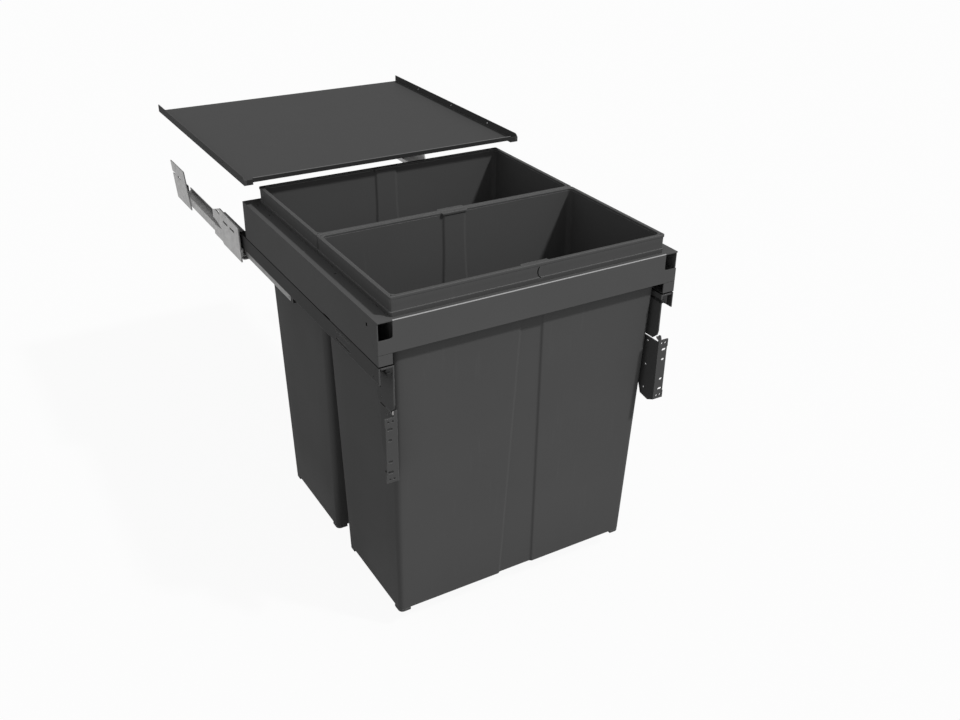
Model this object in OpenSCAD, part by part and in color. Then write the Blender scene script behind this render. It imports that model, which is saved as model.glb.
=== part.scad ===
// Pull-out waste unit for a base cabinet, drawn out to its full travel.
// X is across the cabinet, +Y runs into the cabinet and Z is up.
// The origin is the middle of the unit's outline, level with the bins' feet.

/* [Cabinet] */
// Outside width of the cabinet that holds the unit
cabinet_w = 500; // [450:10:600]
// Thickness of the cabinet's side panels
cabinet_side = 16; // [15:0.5:19]
// Gap left beside each plate that is screwed to a side panel
panel_gap = 1; // [0.5:0.1:2]

/* [Frame] */
// Thickness of the frame's sheet
sheet = 1.5; // [1.2:0.1:2]
// Height of the frame's sides
frame_h = 60; // [54:1:75]
// Strip of the frame's top left bare in front of the bins
front_strip = 6.3; // [5:0.1:12]
// Strip of the frame's top left bare behind the bins
rear_strip = 21.1; // [18:0.1:30]
// Strip of the frame's top left bare beside the bins
side_strip = 20; // [18:0.5:24]
// How far a bin's ledge rests on the frame
seat = 2; // [1.5:0.1:2.5]
// Depth of the turned-down lip inside each side
down_lip = 8; // [5:0.5:12]
// Height of the front plate
face_h = 43.5; // [38:0.5:48]
// Depth of the front plate's turned-in lower hem
face_hem = 5; // [3:0.5:5.5]
// Depth of the notch in each top corner of the front plate
notch_h = 24.5; // [15:0.5:28]
// Radius in the corner of that notch
notch_r = 4; // [2:0.5:8]
// Open seam between the front plate and the side's front tab
face_seam = 0.5; // [0.2:0.1:1]
// Length of the riveted ears at the frame's corners
ear_l = 18; // [12:1:30]
// Radius of the holes in the frame's top and side
frame_hole_r = 1.6; // [1:0.1:2.5]
// Length of the slot low in each side
side_slot_l = 21; // [10:1:40]
// Height of the slot low in each side
side_slot_h = 2.5; // [1.5:0.5:5]

/* [Bins] */
// Depth of one bin over its rim
rim_d = 219.6; // [180:0.1:240]
// Gap between the two rims
bin_gap = 0.3; // [0.3:0.1:2]
// Height of a bin below the frame's top
bin_h = 482; // [300:1:520]
// Height of a bin's collar above the frame's top
collar_h = 26.5; // [20:0.5:32]
// Height of the rim's band
rim_h = 3.5; // [2.5:0.1:6]
// Height of the ledge that rests on the frame
ledge_h = 6.5; // [3:0.1:8]
// How far the collar's wall is set in from the rim's outline
collar_set = 0.8; // [0.3:0.1:2]
// Radius of the upright corners of the ledge, collar and rim
collar_r = 3; // [2:0.5:8]
// How far the body is set in from the rim's outline
body_inset = 3; // [3:0.1:5]
// Wall of a bin
bin_wall = 2.2; // [1.6:0.1:3]
// Thickness of a bin's floor
bin_floor = 2.6; // [2:0.1:4]
// How much each side wall draws in towards the floor
side_taper = 9.8; // [5:0.1:15]
// How much the front and rear walls draw in towards the floor
end_taper = 20; // [10:0.5:30]
// Radius of the body's upright corners at the top
corner_r = 10; // [7:0.5:14]
// Radius of the body's upright corners at the floor
foot_r = 7; // [5:0.5:10]
// Length of each corner foot along a wall
foot_l = 17; // [10:1:30]
// Height of the corner feet
foot_h = 4; // [2:0.5:6]
// Half width of the sunk middle panel at its top
panel_top = 16.5; // [10:0.5:22]
// Half width of the sunk middle panel at the floor
panel_foot = 29; // [15:0.5:40]
// Depth of the sunk middle panel
panel_sink = 2.5; // [1:0.1:4]
// Half width of the finger hold in the middle of a rim
hold_half = 21; // [18:0.5:40]
// How far the finger hold reaches into the bin
hold_reach = 4; // [3:0.5:8]
// Radius of the crescent groove in the middle of the collar's front
mark_r = 10; // [6:0.5:12]
// Width of that groove at its widest
mark_w = 2.4; // [1:0.1:4]

/* [Lid] */
// Height of the lid's underside over the frame's top
lid_clear = 38.3; // [36:0.1:60]
// How far the lid reaches past the parked bins, front and rear
lid_over = 4.6; // [2:0.1:10]
// How far the lid's front edge covers the rear bin of the drawn-out unit
lid_cover = 22; // [10:0.1:45]
// Height of the lid's side flanges over its underside
lid_flange_h = 12.2; // [10:0.1:20]
// How much the lid's front edge is raised, to lead the bins in under it
lid_rise = 3.5; // [1:0.1:5]
// Length of the sloping strip behind that edge
lid_ramp = 15; // [8:0.5:25]
// Height of the upturned lip along the front edge
lid_lip = 6.8; // [3:0.1:8]
// Width of the flat corner beside the raised edge
lid_corner_w = 13.5; // [10:0.5:20]
// Height of the tab that closes each front corner
lid_tab_h = 8; // [6:0.1:12]
// Distance between the screw holes along each side of the lid
lid_pitch = 128; // [96:32:160]
// Radius of the lid's screw holes
lid_hole_r = 1.7; // [1.5:0.1:3]

/* [Runners] */
// How far each cabinet rail stands out beyond the frame's side
rail_out = 5; // [4.5:0.5:8]
// Thickness of the plates that are screwed to the side panels
plate_t = 2; // [1.5:0.1:2.5]
// Diameter of the balls
ball_d = 4.76; // [4:0.01:5]
// Play of a ball at each side of its gap
ball_play = 0.07; // [0.05:0.01:0.15]
// Gap between runner parts that pass each other without balls
pass_gap = 0.5; // [0.3:0.1:1]
// How far the channel under each side of the frame reaches out behind it
carrier_tail = 31.1; // [10:0.1:45]
// Height of the channel's outer flange
carrier_out_h = 23.5; // [20:0.5:28]
// Height of the channel's inner flange
carrier_in_h = 20; // [16:0.5:22]
// How much shorter the middle rail is than the travel
middle_short = 106.4; // [80:0.1:120]
// Height of the middle rail's foot
middle_foot_h = 9.6; // [9:0.1:14]
// Distance from the parked frame's front to the cabinet rail's front end
rail_setback = 57.9; // [50:0.1:80]
// How much shorter the cabinet rail is than the travel
rail_short = 74.1; // [50:0.1:90]
// Height of the cabinet rail's outer flange
rail_out_h = 17; // [15:0.5:20]
// Height of the cabinet rail's inner flange
rail_in_h = 7; // [5:0.5:10]
// Length of the stop buffer at the cabinet rail's rear end
stop_l = 8; // [5:0.5:15]
// Length of the middle rail's nose cap
nose_l = 9; // [4:0.5:12]
// Thickness of a ball cage
cage_t = 1.2; // [0.8:0.1:1.6]
// How far each end of a ball cage lies inside the stretch where its two rails overlap
cage_margin = 6; // [4:1:12]
// Balls in each row of the upper cage
upper_balls = 8; // [4:1:8]
// Balls in each row of the lower cage
lower_balls = 5; // [3:1:5]

/* [Brackets] */
// Height of the screw slots' line below the frame's top
slot_line = 61.3; // [58:0.1:66]
// Distance between the two screw slots of a plate
slot_pitch = 32; // [32:1:36]
// Length of a front plate's screw slot
front_slot_l = 22; // [10:1:26]
// Length of a rear plate's screw slot
rear_slot_l = 18; // [10:1:22]
// Radius of the screw slots' ends
slot_r = 1.8; // [1.5:0.1:2.5]
// Length of a front plate
front_l = 128; // [115:1:140]
// Height of a front plate's top edge below the frame's top
front_top = 44.5; // [40:0.5:50]
// Height of a front plate's foot below the frame's top
front_low = 103; // [98:0.5:110]
// Distance from the rail's front end back to the front plate's first slot
front_slot_in = 33.5; // [28:0.5:36]
// Length of a rear plate's foot
rear_w = 80; // [76:1:90]
// Length of a rear plate's top edge
rear_top_w = 77; // [74:1:90]
// How far a rear plate leans back from its foot to its top
rear_lean = 26; // [15:1:30]
// Height of a rear plate's top edge below the frame's top
rear_top = 42; // [38:0.5:48]
// Height of a rear plate's foot below the frame's top
rear_low = 103.5; // [98:0.5:110]
// Distance from the front of a rear plate's foot back to its first slot
rear_slot_in = 56; // [48:1:58]

/* [Door brackets] */
// How far the door brackets' faces stand in front of the frame
door_reach = 4.6; // [3.5:0.1:8]
// Thickness of the hanger plates and door brackets
arm_t = 2; // [1.5:0.1:2.4]
// Depth of a hanger plate, front to rear
hanger_d = 48; // [46:1:56]
// How far a hanger plate hangs below the frame
hanger_drop = 71; // [60:1:90]
// Open gap between a hanger plate and the bracket under it
hanger_gap = 2.6; // [1.3:0.1:3]
// Height of a door bracket's face
door_h = 95.5; // [91:0.5:120]
// Outer edge of a door bracket's face, from the frame's side
door_in = 3.6; // [2:0.1:6]
// How much narrower the face is between its end holes
door_waist = 1; // [0:0.1:2]
// Depth of a door bracket's web, front to rear
door_web_d = 45; // [40:1:50]
// Height that a door bracket can be raised
door_up = 1; // [0.5:0.1:1]
// Height that a door bracket can be lowered
door_down = 3; // [1:0.1:4]
// Height between the two short slots of a door bracket
short_pitch = 32; // [28:1:34]
// Height between the two long slots of a door bracket
long_pitch = 64; // [58:1:68]
// Height between the two pairs of round holes
pair_pitch = 85.2; // [80:0.2:88]
// Distance between the two round holes of a pair
pair_gap = 6.2; // [5:0.1:7]
// Distance from a door bracket's outer edge to its slots
slot_edge = 6.1; // [5:0.1:7.5]
// Distance from a door bracket's outer edge to the middle of a pair of holes
pair_edge = 7.55; // [6.5:0.05:8.5]
// Length of a short slot
short_slot_l = 6; // [5:0.5:8]
// Length of a long slot
long_slot_l = 8; // [7:0.5:10]
// Radius of the slots' ends
door_slot_r = 2; // [1.5:0.1:2.2]
// Radius of the round holes
door_hole_r = 1.8; // [1.2:0.1:2]
// Radius of a clamp screw's shank
clamp_r = 2; // [1.5:0.1:2.5]
// Height between the two clamp screws
clamp_pitch = 16; // [12:1:18]

/* [Release levers] */
// Width of a release lever
lever_w = 4.5; // [3.5:0.1:4.5]
// Thickness of a release lever
lever_h = 6; // [4:0.5:7]
// Distance from the frame's front back to a lever's pivot
lever_pivot = 60; // [56:1:64]
// How far a lever's tip reaches in front of the frame
lever_tip = 2; // [1:0.5:4]
// Distance from the channel's web down to a release lever
lever_drop = 9.5; // [9:0.1:11]
// Radius of a lever's pivot pin
lever_pin_r = 1.5; // [1.2:0.1:1.8]

/* [Hidden] */
$fn = 32;
// Overrun of every cut past the face that it opens
over = 1;
// Clearance of a pin, screw or rivet in a hole that it turns or slides in
fit_gap = 0.1;
// Clearance of a rivet in its holes
rivet_gap = 0.05;
// Radius of the rivets
rivet_r = 2;
// Height and extra radius of a rivet's head
head_h = 1.5;
head_over = 1.2;

// Half widths across the unit, outside in
half_cab = cabinet_w / 2 - cabinet_side - panel_gap;
half_rail = half_cab - plate_t;
half_frame = half_rail - rail_out;
half_rim = half_frame - side_strip;
half_hole = half_rim - seat;
half_body = half_rim - body_inset;

// Places along the travel, measured from the frame's front face
bins_y0 = front_strip;
pitch_y = rim_d + bin_gap;
bins_y1 = bins_y0 + rim_d + pitch_y;
frame_d = bins_y1 + rear_strip;
hole_y0 = bins_y0 + seat;
hole_y1 = bins_y1 - seat;
lid_y0 = bins_y1 - lid_cover;
travel = lid_y0 + lid_over - bins_y0;
lid_y1 = travel + bins_y1 + lid_over;
carrier_l = frame_d + carrier_tail;
rail_l = travel - rail_short;
middle_l = travel - middle_short;
rail_y0 = travel + rail_setback;
rail_y1 = rail_y0 + rail_l;
buffer_gap = 0.25;
middle_y0 = rail_y1 - stop_l - buffer_gap - travel / 2 - middle_l;
middle_y1 = middle_y0 + middle_l;
upper_cage_y = middle_y0 + cage_margin;
upper_cage_l = carrier_l - middle_y0 - 2 * cage_margin;
lower_cage_y = rail_y0 + cage_margin;
lower_cage_l = middle_y1 - rail_y0 - 2 * cage_margin;

// The whole unit's depth sets where the frame's front face lies
total_d = lid_y1 + door_reach;
face_y = door_reach - total_d / 2;
deck_z = bin_h;

// The runner's section, shared by its three members
run_gap = ball_d + 2 * ball_play;
carrier_w = side_strip;
carrier_x0 = half_frame - carrier_w;
run_x0 = carrier_x0 + sheet;
box_x0 = run_x0 + run_gap;
box_x1 = half_frame - sheet - run_gap;
foot_x1 = half_rail - sheet - run_gap;
web_z = -frame_h - sheet;
box_z1 = web_z - run_gap;
foot_z1 = -frame_h - carrier_out_h - pass_gap;
foot_z0 = foot_z1 - middle_foot_h;
rail_z1 = foot_z0 - run_gap;
rail_z0 = rail_z1 - sheet;
rail_bend_r = 4;
upper_row_z = box_z1 - ball_d - sheet * 2;
lower_row_z = (foot_z1 + foot_z0) / 2;

// Hanger plates and door brackets share one plane at each side
arm_x0 = carrier_x0 - arm_t / 4;
arm_x1 = arm_x0 + arm_t;
hanger_z0 = -frame_h - hanger_drop;
door_z1 = hanger_z0 - hanger_gap;
door_face_z1 = hanger_z0 + arm_t / 10;
door_face_z0 = door_face_z1 - door_h;
door_mid_z = (door_face_z0 + door_face_z1) / 2;
door_x1 = half_frame - door_in;

// Release levers hang in the channel's front end
lever_gap = 0.7;
lever_x0 = arm_x1 + lever_gap;
lever_x1 = lever_x0 + lever_w;
lever_z1 = web_z - lever_drop;

// Moves what is drawn from the frame's front face and top into place
module place() translate([0, face_y, deck_z]) children();

// Draws the right-hand part, or its mirror image for the left
module handed(side) {
  if (side < 0) mirror([1, 0, 0]) children();
  else children();
}

// Runs an outline of X and Z along Y
module along_y(y0, y1) translate([0, y1, 0]) rotate([90, 0, 0]) linear_extrude(y1 - y0) children();

// Runs an outline of Y and Z along X
module along_x(x0, x1) translate([x0, 0, 0]) rotate([90, 0, 90]) linear_extrude(x1 - x0) children();

// A block between two corners
module block(a, b) translate(a) cube(b - a);

// Round bars along each axis, between two places
module bar_x(x0, x1, y, z, r) translate([x0, y, z]) rotate([0, 90, 0]) cylinder(h = x1 - x0, r = r);
module bar_y(y0, y1, x, z, r) translate([x, y1, z]) rotate([90, 0, 0]) cylinder(h = y1 - y0, r = r);
module bar_z(z0, z1, x, y, r) translate([x, y, z0]) cylinder(h = z1 - z0, r = r);

// A slot through a plate that faces X, long along Y
module slot_through_x(x0, x1, y, z, l, r) {
  bar_x(x0, x1, y - l / 2 + r, z, r);
  bar_x(x0, x1, y + l / 2 - r, z, r);
  block([x0, y - l / 2 + r, z - r], [x1, y + l / 2 - r, z + r]);
}

// A slot through a plate that faces X, long along Z
module tall_slot_x(x0, x1, y, z, l, r) {
  bar_x(x0, x1, y, z - l / 2 + r, r);
  bar_x(x0, x1, y, z + l / 2 - r, r);
  block([x0, y - r, z - l / 2 + r], [x1, y + r, z + l / 2 - r]);
}

// A slot through a plate that faces Y, long along X
module slot_through_y(y0, y1, x, z, l, r) {
  bar_y(y0, y1, x - l / 2 + r, z, r);
  bar_y(y0, y1, x + l / 2 - r, z, r);
  block([x - l / 2 + r, y0, z - r], [x + l / 2 - r, y1, z + r]);
}

// Points of an arc about a centre, from one angle to another
function arc(c, r, a0, a1, n) = [for (i = [0 : n]) c + r * [cos(a0 + (a1 - a0) * i / n), sin(a0 + (a1 - a0) * i / n)]];
arc_steps = 6;

// Lid: a flat sheet with upturned side flanges, and a front edge that is raised and turned up
half_lid = cabinet_w / 2 - cabinet_side;
half_lip = half_lid - lid_corner_w;
lid_corner_r = 8;
lid_z0 = lid_clear;
lid_z1 = lid_clear + lid_flange_h;
lip_z0 = lid_z0 + lid_rise;
lip_z1 = lip_z0 + lid_lip;
lid_ramp_y = lid_y0 + lid_ramp;
lid_mid_y = (lid_y0 + lid_y1) / 2;
lid_hole_z = (lid_z0 + sheet + lid_z1) / 2;

module lid_flange_outline() polygon(concat(
  [[lid_y1, lid_z0], [lid_y1, lid_z1]],
  arc([lid_y0 + lid_corner_r, lid_z1 - lid_corner_r], lid_corner_r, 90, 180, arc_steps),
  [[lid_y0, lid_z0]]));

module lid_edge_outline() polygon([[lid_ramp_y + over, lid_z0], [lid_ramp_y + over, lid_z0 + sheet],
  [lid_ramp_y, lid_z0 + sheet], [lid_y0 + sheet, lip_z0 + sheet], [lid_y0 + sheet, lip_z1], [lid_y0, lip_z1],
  [lid_y0, lip_z0], [lid_ramp_y, lid_z0]]);

module lid_panel() color("#4b4b4c") place() difference() {
  union() {
    block([-half_lid, lid_ramp_y, lid_z0], [half_lid, lid_y1, lid_z0 + sheet]);
    along_x(-half_lip, half_lip) lid_edge_outline();
    for (side = [-1, 1]) handed(side) {
      along_x(half_lid - sheet, half_lid) lid_flange_outline();
      block([half_lip, lid_y0, lid_z0], [half_lid, lid_ramp_y, lid_z0 + sheet]);
      block([half_lip, lid_y0, lid_z0], [half_lid, lid_y0 + sheet, lid_z0 + lid_tab_h]);
    }
  }
  for (side = [-1, 1], i = [-1 : 1]) handed(side)
    bar_x(half_lid - sheet - over, half_lid + over, lid_mid_y + i * lid_pitch, lid_hole_z, lid_hole_r);
}

// Cabinet rail: a channel that opens upwards, with its outer corner bent round
module cabinet_rail_outline() polygon(concat(
  [[half_rail, rail_z0 + rail_out_h], [half_rail - sheet, rail_z0 + rail_out_h]],
  arc([half_rail - rail_bend_r, rail_z0 + rail_bend_r], rail_bend_r - sheet, 0, -90, arc_steps),
  [[run_x0, rail_z1], [run_x0, rail_z0 + rail_in_h], [carrier_x0, rail_z0 + rail_in_h], [carrier_x0, rail_z0]],
  arc([half_rail - rail_bend_r, rail_z0 + rail_bend_r], rail_bend_r, -90, 0, arc_steps)));

rivet_z = rail_z0 + rail_out_h - rail_bend_r * 1.5;
front_rivet_shares = [0.094, 0.516];
rear_rivet_shares = [0.65, 0.35];
rail_rivet_y = concat([for (k = front_rivet_shares) rail_y0 + front_l * k], [for (k = rear_rivet_shares) rail_y1 - rear_w * k]);

module cabinet_rail(side) color("#a3a3a0") place() handed(side) difference() {
  along_y(rail_y0, rail_y1) cabinet_rail_outline();
  for (y = rail_rivet_y) bar_x(half_rail - sheet - over, half_rail + over, y, rivet_z, rivet_r + rivet_gap);
}

module rail_rivets(side) color("#8d8d8b") place() handed(side)
  for (y = rail_rivet_y) bar_x(half_rail - sheet, half_cab, y, rivet_z, rivet_r);

module rail_stop(side) color("#3a3a3a") place() handed(side)
  block([box_x0 + pass_gap, rail_y1 - stop_l, rail_z1], [foot_x1 - pass_gap, rail_y1, foot_z1 - pass_gap]);

// Front plate: a flat foot, a top that steps down behind, and a wedge cut out at its rear edge
front_h = front_low - front_top;
front_edge = rail_y0 - pass_gap * 2;
front_tail_y = rail_y0 + front_l;
front_shoulder_y = rail_y0 + front_l * 0.711;
front_step_y = rail_y0 + front_l * 0.66;
front_tail_top = front_top + front_h * 0.222;
front_corner_drop = front_h * 0.045;
front_wedge_y = rail_y0 + front_l * 0.672;
front_wedge_top = front_top + front_h * 0.453;
front_wedge_tip = front_top + front_h * 0.581;
dart_top = front_top + front_h * 0.094;
dart_l = front_l * 0.18;

module front_outline_x() polygon([[front_edge, -front_low], [front_step_y, -front_low],
  [front_step_y + rivet_r * 2, rail_z0], [front_tail_y, rail_z0], [front_tail_y, -front_tail_top],
  [front_shoulder_y, -front_top], [front_edge + rivet_r * 2, -front_top - front_corner_drop]]);

module front_wedge() polygon([[front_tail_y + over, -front_wedge_top], [front_tail_y - front_l * 0.14, -front_wedge_top - over],
  [front_wedge_y, -front_wedge_tip], [front_tail_y + over, rail_z0 + rail_out_h]]);

module front_dart() polygon([[front_shoulder_y + dart_l, -dart_top - front_corner_drop],
  [front_shoulder_y + rivet_r * 2, -dart_top], [front_shoulder_y, -dart_top - front_corner_drop * 2.5]]);

module front_bracket(side) color("#b4b4b0") place() handed(side) difference() {
  along_x(half_rail, half_cab) difference() {
    front_outline_x();
    front_wedge();
    front_dart();
  }
  for (i = [0, 1]) slot_through_x(half_rail - over, half_cab + over, rail_y0 + front_slot_in + i * slot_pitch, -slot_line,
    front_slot_l, slot_r);
  for (y = rail_rivet_y) bar_x(half_rail - over, half_cab + over, y, rivet_z, rivet_r + rivet_gap);
}

// Rear plate: a strip that leans back towards its top
rear_foot_y = rail_y1 - rear_w * 1.1;

module rear_outline() polygon([[rear_foot_y, -rear_low], [rear_foot_y + rear_w, -rear_low],
  [rear_foot_y + rear_lean + rear_top_w, -rear_top], [rear_foot_y + rear_lean, -rear_top]]);

module rear_bracket(side) color("#b4b4b0") place() handed(side) difference() {
  along_x(half_rail, half_cab) rear_outline();
  for (i = [0, 1]) slot_through_x(half_rail - over, half_cab + over, rear_foot_y + rear_slot_in + i * slot_pitch, -slot_line,
    rear_slot_l, slot_r);
  for (y = rail_rivet_y) bar_x(half_rail - over, half_cab + over, y, rivet_z, rivet_r + rivet_gap);
}

// Ears turn back from the frame's ends inside its sides
ear_z1 = -notch_h - sheet;
ear_z0 = -face_h + sheet;
ear_rivet_z = (ear_z0 + ear_z1) / 2;
ear_rivet_y = [sheet + ear_l * 0.6, frame_d - sheet - ear_l * 0.6];

module ear_holes(r) for (y = ear_rivet_y)
  bar_x(half_frame - 2 * sheet - over, half_frame + over, y, ear_rivet_z, r);

module front_outline() polygon(concat(
  [[half_frame, -face_h], [half_frame, -notch_h]],
  arc([half_rim + notch_r, -notch_h + notch_r], notch_r, 270, 180, arc_steps),
  [[half_rim, 0], [-half_rim, 0]],
  arc([-half_rim - notch_r, -notch_h + notch_r], notch_r, 0, -90, arc_steps),
  [[-half_frame, -notch_h], [-half_frame, -face_h]]));

module frame_front() color("#4e4e4f") place() difference() {
  union() {
    along_y(0, sheet) front_outline();
    block([-half_hole, 0, -sheet], [half_hole, hole_y0, 0]);
    block([-half_rim, 0, -face_h], [half_rim, face_hem, -face_h + sheet]);
    for (side = [-1, 1]) handed(side)
      block([half_frame - 2 * sheet, 0, ear_z0], [half_frame - sheet, sheet + ear_l, ear_z1]);
  }
  for (side = [-1, 1]) handed(side) ear_holes(rivet_r + rivet_gap);
}

module frame_rear() color("#4e4e4f") place() difference() {
  union() {
    block([-half_frame, frame_d - sheet, -frame_h], [half_frame, frame_d, 0]);
    block([-half_hole, hole_y1, -sheet], [half_hole, frame_d, 0]);
    for (side = [-1, 1]) handed(side)
      block([half_frame - 2 * sheet, frame_d - sheet - ear_l, ear_z0], [half_frame - sheet, frame_d, ear_z1]);
  }
  for (side = [-1, 1]) handed(side) ear_holes(rivet_r + rivet_gap);
}

// Outer radius of the two folds that meet in a seam where the frame's side stands on its channel
fold_r = sheet;

// Side of the frame: a folded section that opens inwards, with a tab across its front
module side_outline() polygon(concat(
  [[half_frame, 0]],
  arc([half_frame - fold_r, -frame_h + fold_r], fold_r, 0, -90, arc_steps),
  [[half_frame - side_strip, -frame_h], [half_frame - side_strip, -frame_h + sheet],
    [half_frame - sheet, -frame_h + sheet], [half_frame - sheet, -sheet], [half_hole + sheet, -sheet],
    [half_hole + sheet, -down_lip], [half_hole, -down_lip], [half_hole, 0]]));

top_hole_x = half_frame - side_strip * 0.75;
top_hole_shares = [0.3328, 0.8404, 0.946];
side_hole_y = frame_d * 0.0643;
side_hole_z = frame_h * 0.233;
side_slot_y = frame_d * 0.3127;
seam_rivet_x = half_frame - sheet - rivet_r * 2;
seam_rivet_shares = [0.2356, 0.6425, 0.9638];
seam_rivet_y = frame_d * seam_rivet_shares;
hook_y0 = lever_pivot * 0.567;
hook_y1 = lever_pivot * 0.633;

// The lever's hook passes up through the plates here
module hook_slot(z0, z1)
  block([lever_x0 - fit_gap * 3, hook_y0 - lever_w * 0.7, z0], [lever_x1 + fit_gap * 3, hook_y1 + pass_gap, z1]);

module frame_side(side) color("#414142") place() handed(side) difference() {
  union() {
    along_y(sheet, frame_d - sheet) side_outline();
    block([half_rim, 0, -sheet], [half_frame, sheet, 0]);
    block([carrier_x0 + over, 0, -frame_h + fold_r * 0.6], [half_frame, sheet, -face_h - face_seam]);
  }
  for (k = top_hole_shares) bar_z(-sheet - over, over, top_hole_x, frame_d * k, frame_hole_r);
  bar_x(half_frame - sheet - over, half_frame + over, side_hole_y, -side_hole_z, frame_hole_r + rivet_gap);
  block([half_frame - sheet - over, side_slot_y, -frame_h - over],
    [half_frame + over, side_slot_y + side_slot_l, -frame_h + side_slot_h]);
  ear_holes(rivet_r + rivet_gap);
  hook_slot(-frame_h - over, -frame_h + sheet + over);
  for (y = seam_rivet_y) bar_z(-frame_h - over, -frame_h + sheet + over, seam_rivet_x, y, rivet_r + rivet_gap);
  for (y = hanger_rivet_y) bar_z(-frame_h - over, -frame_h + sheet + over, seam_rivet_x, y, rivet_r + rivet_gap);
}

module frame_rivets() color("#454546") place() for (side = [-1, 1]) handed(side) {
  for (y = ear_rivet_y) {
    bar_x(half_frame - 2 * sheet, half_frame, y, ear_rivet_z, rivet_r);
    bar_x(half_frame - 2 * sheet - head_h, half_frame - 2 * sheet, y, ear_rivet_z, rivet_r + head_over);
  }
  for (y = seam_rivet_y) {
    bar_z(web_z, -frame_h + sheet, seam_rivet_x, y, rivet_r);
    bar_z(-frame_h + sheet, -frame_h + sheet + head_h, seam_rivet_x, y, rivet_r + head_over);
  }
}

// Carrier: an inverted channel under the frame's side, cut back inside for the hanger plate
module carrier_outline() polygon(concat(
  arc([half_frame - fold_r, -frame_h - fold_r], fold_r, 90, 0, arc_steps),
  [[half_frame, -frame_h - carrier_out_h], [half_frame - sheet, -frame_h - carrier_out_h],
    [half_frame - sheet, web_z], [run_x0, web_z], [run_x0, -frame_h - carrier_in_h],
    [carrier_x0, -frame_h - carrier_in_h], [carrier_x0, -frame_h]]));

carrier_hole_y = hanger_d * 0.367;
carrier_hole_z = frame_h + carrier_out_h * 0.81;
rib_y = frame_d * 0.18;
rib_l = frame_d * 0.0942;
rib_out = sheet * 0.53;
rib_drop = carrier_out_h * 0.17;
rib_h = carrier_out_h * 0.085;
vent_drop = carrier_out_h * 0.64;
vent_h = carrier_out_h * 0.17;

module carrier_rail(side) color("#414142") place() handed(side) difference() {
  union() {
    along_y(0, carrier_l) carrier_outline();
    block([half_frame - sheet, rib_y, -frame_h - rib_drop - rib_h], [half_frame + rib_out, rib_y + rib_l, -frame_h - rib_drop]);
  }
  block([carrier_x0 - over, -over, -frame_h - carrier_in_h - over], [run_x0, hanger_d + pass_gap, web_z]);
  block([half_frame - sheet - over, rib_y, -frame_h - vent_drop - vent_h],
    [half_frame + over, rib_y + rib_l, -frame_h - vent_drop]);
  bar_x(half_frame - sheet - over, half_frame + over, carrier_hole_y, -carrier_hole_z, frame_hole_r);
  bar_x(carrier_x0 - over, run_x0 + over, lever_pivot, lever_pin_z, lever_pin_r + rivet_gap);
  hook_slot(web_z - over, -frame_h + over);
  for (y = concat(seam_rivet_y, hanger_rivet_y))
    bar_z(web_z - over, -frame_h + over, seam_rivet_x, y, rivet_r + rivet_gap);
}

// Hanger plate: an angle whose flange is riveted up under the carrier's web
hanger_flange_z = web_z - arm_t;
hanger_flange_x = half_frame - sheet - pass_gap * 4;
hanger_rivet_shares = [0.2, 0.8];
hanger_rivet_y = hanger_d * hanger_rivet_shares;
hanger_chamfer_shares = [0.042, 0.21];
hanger_chamfer_h = hanger_drop * 0.1;
hanger_round_r = hanger_d / 8;
clamp_y = hanger_d * 0.771;
clamp_shares = [0.45, 1.45];
clamp_z = [for (k = clamp_shares) hanger_z0 + clamp_pitch * k];

module hanger_outline() polygon(concat(
  [[0, web_z], [0, hanger_z0 + hanger_chamfer_h * 2], [hanger_d * hanger_chamfer_shares[0], hanger_z0 + hanger_chamfer_h],
    [hanger_d * hanger_chamfer_shares[1], hanger_z0]],
  arc([hanger_d - hanger_round_r, hanger_z0 + hanger_round_r], hanger_round_r, -90, 0, arc_steps),
  [[hanger_d, web_z]]));

module hanger_plate(side) color("#3c3c3d") place() handed(side) difference() {
  union() {
    along_x(arm_x0, arm_x1) hanger_outline();
    block([arm_x0, 0, hanger_flange_z], [hanger_flange_x, hanger_d - arm_t, web_z]);
  }
  hook_slot(hanger_flange_z - over, web_z + over);
  for (y = hanger_rivet_y) bar_z(hanger_flange_z - over, web_z + over, seam_rivet_x, y, rivet_r + rivet_gap);
  for (z = clamp_z) bar_x(arm_x0 - over, arm_x1 + over, clamp_y, z, clamp_r * 0.8 + rivet_gap);
}

module hanger_rivets() color("#8d8d8b") place() for (side = [-1, 1], y = hanger_rivet_y) handed(side) {
  bar_z(hanger_flange_z, -frame_h + sheet, seam_rivet_x, y, rivet_r);
  bar_z(hanger_flange_z - head_h, hanger_flange_z, seam_rivet_x, y, rivet_r + head_over / 2);
}

// Lock block: fills the carrier's front end and holds the lever's pin
block_x0 = arm_x1 + fit_gap;
block_x1 = lever_x1 + lever_gap * 5;
block_l = hook_y0 - lever_w * 1.2;
block_z0 = lever_z1 + fit_gap * 3;
cheek_x0 = lever_x1 + fit_gap * 3;
cheek_y1 = lever_pivot + lever_h * 1.3;
lever_pin_z = lever_z1 + lever_h / 6;

module lock_block(side) color("#2a2a2b") place() handed(side) difference() {
  union() {
    block([block_x0, sheet / 3, block_z0], [block_x1, block_l, hanger_flange_z]);
    block([cheek_x0, sheet / 3, lever_z1 - lever_h * 0.8], [block_x1, cheek_y1, hanger_flange_z]);
  }
  bar_x(cheek_x0 - over, block_x1 + over, lever_pivot, lever_pin_z, lever_pin_r + rivet_gap);
}

module lever_pin(side) color("#9a9a98") place() handed(side)
  bar_x(carrier_x0, block_x1, lever_pivot, lever_pin_z, lever_pin_r);

// Release lever: a bar with an upright hook, a round boss and a finger tip
boss_r = 4;
hook_top = -frame_h + sheet * 5 / 3;

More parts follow.
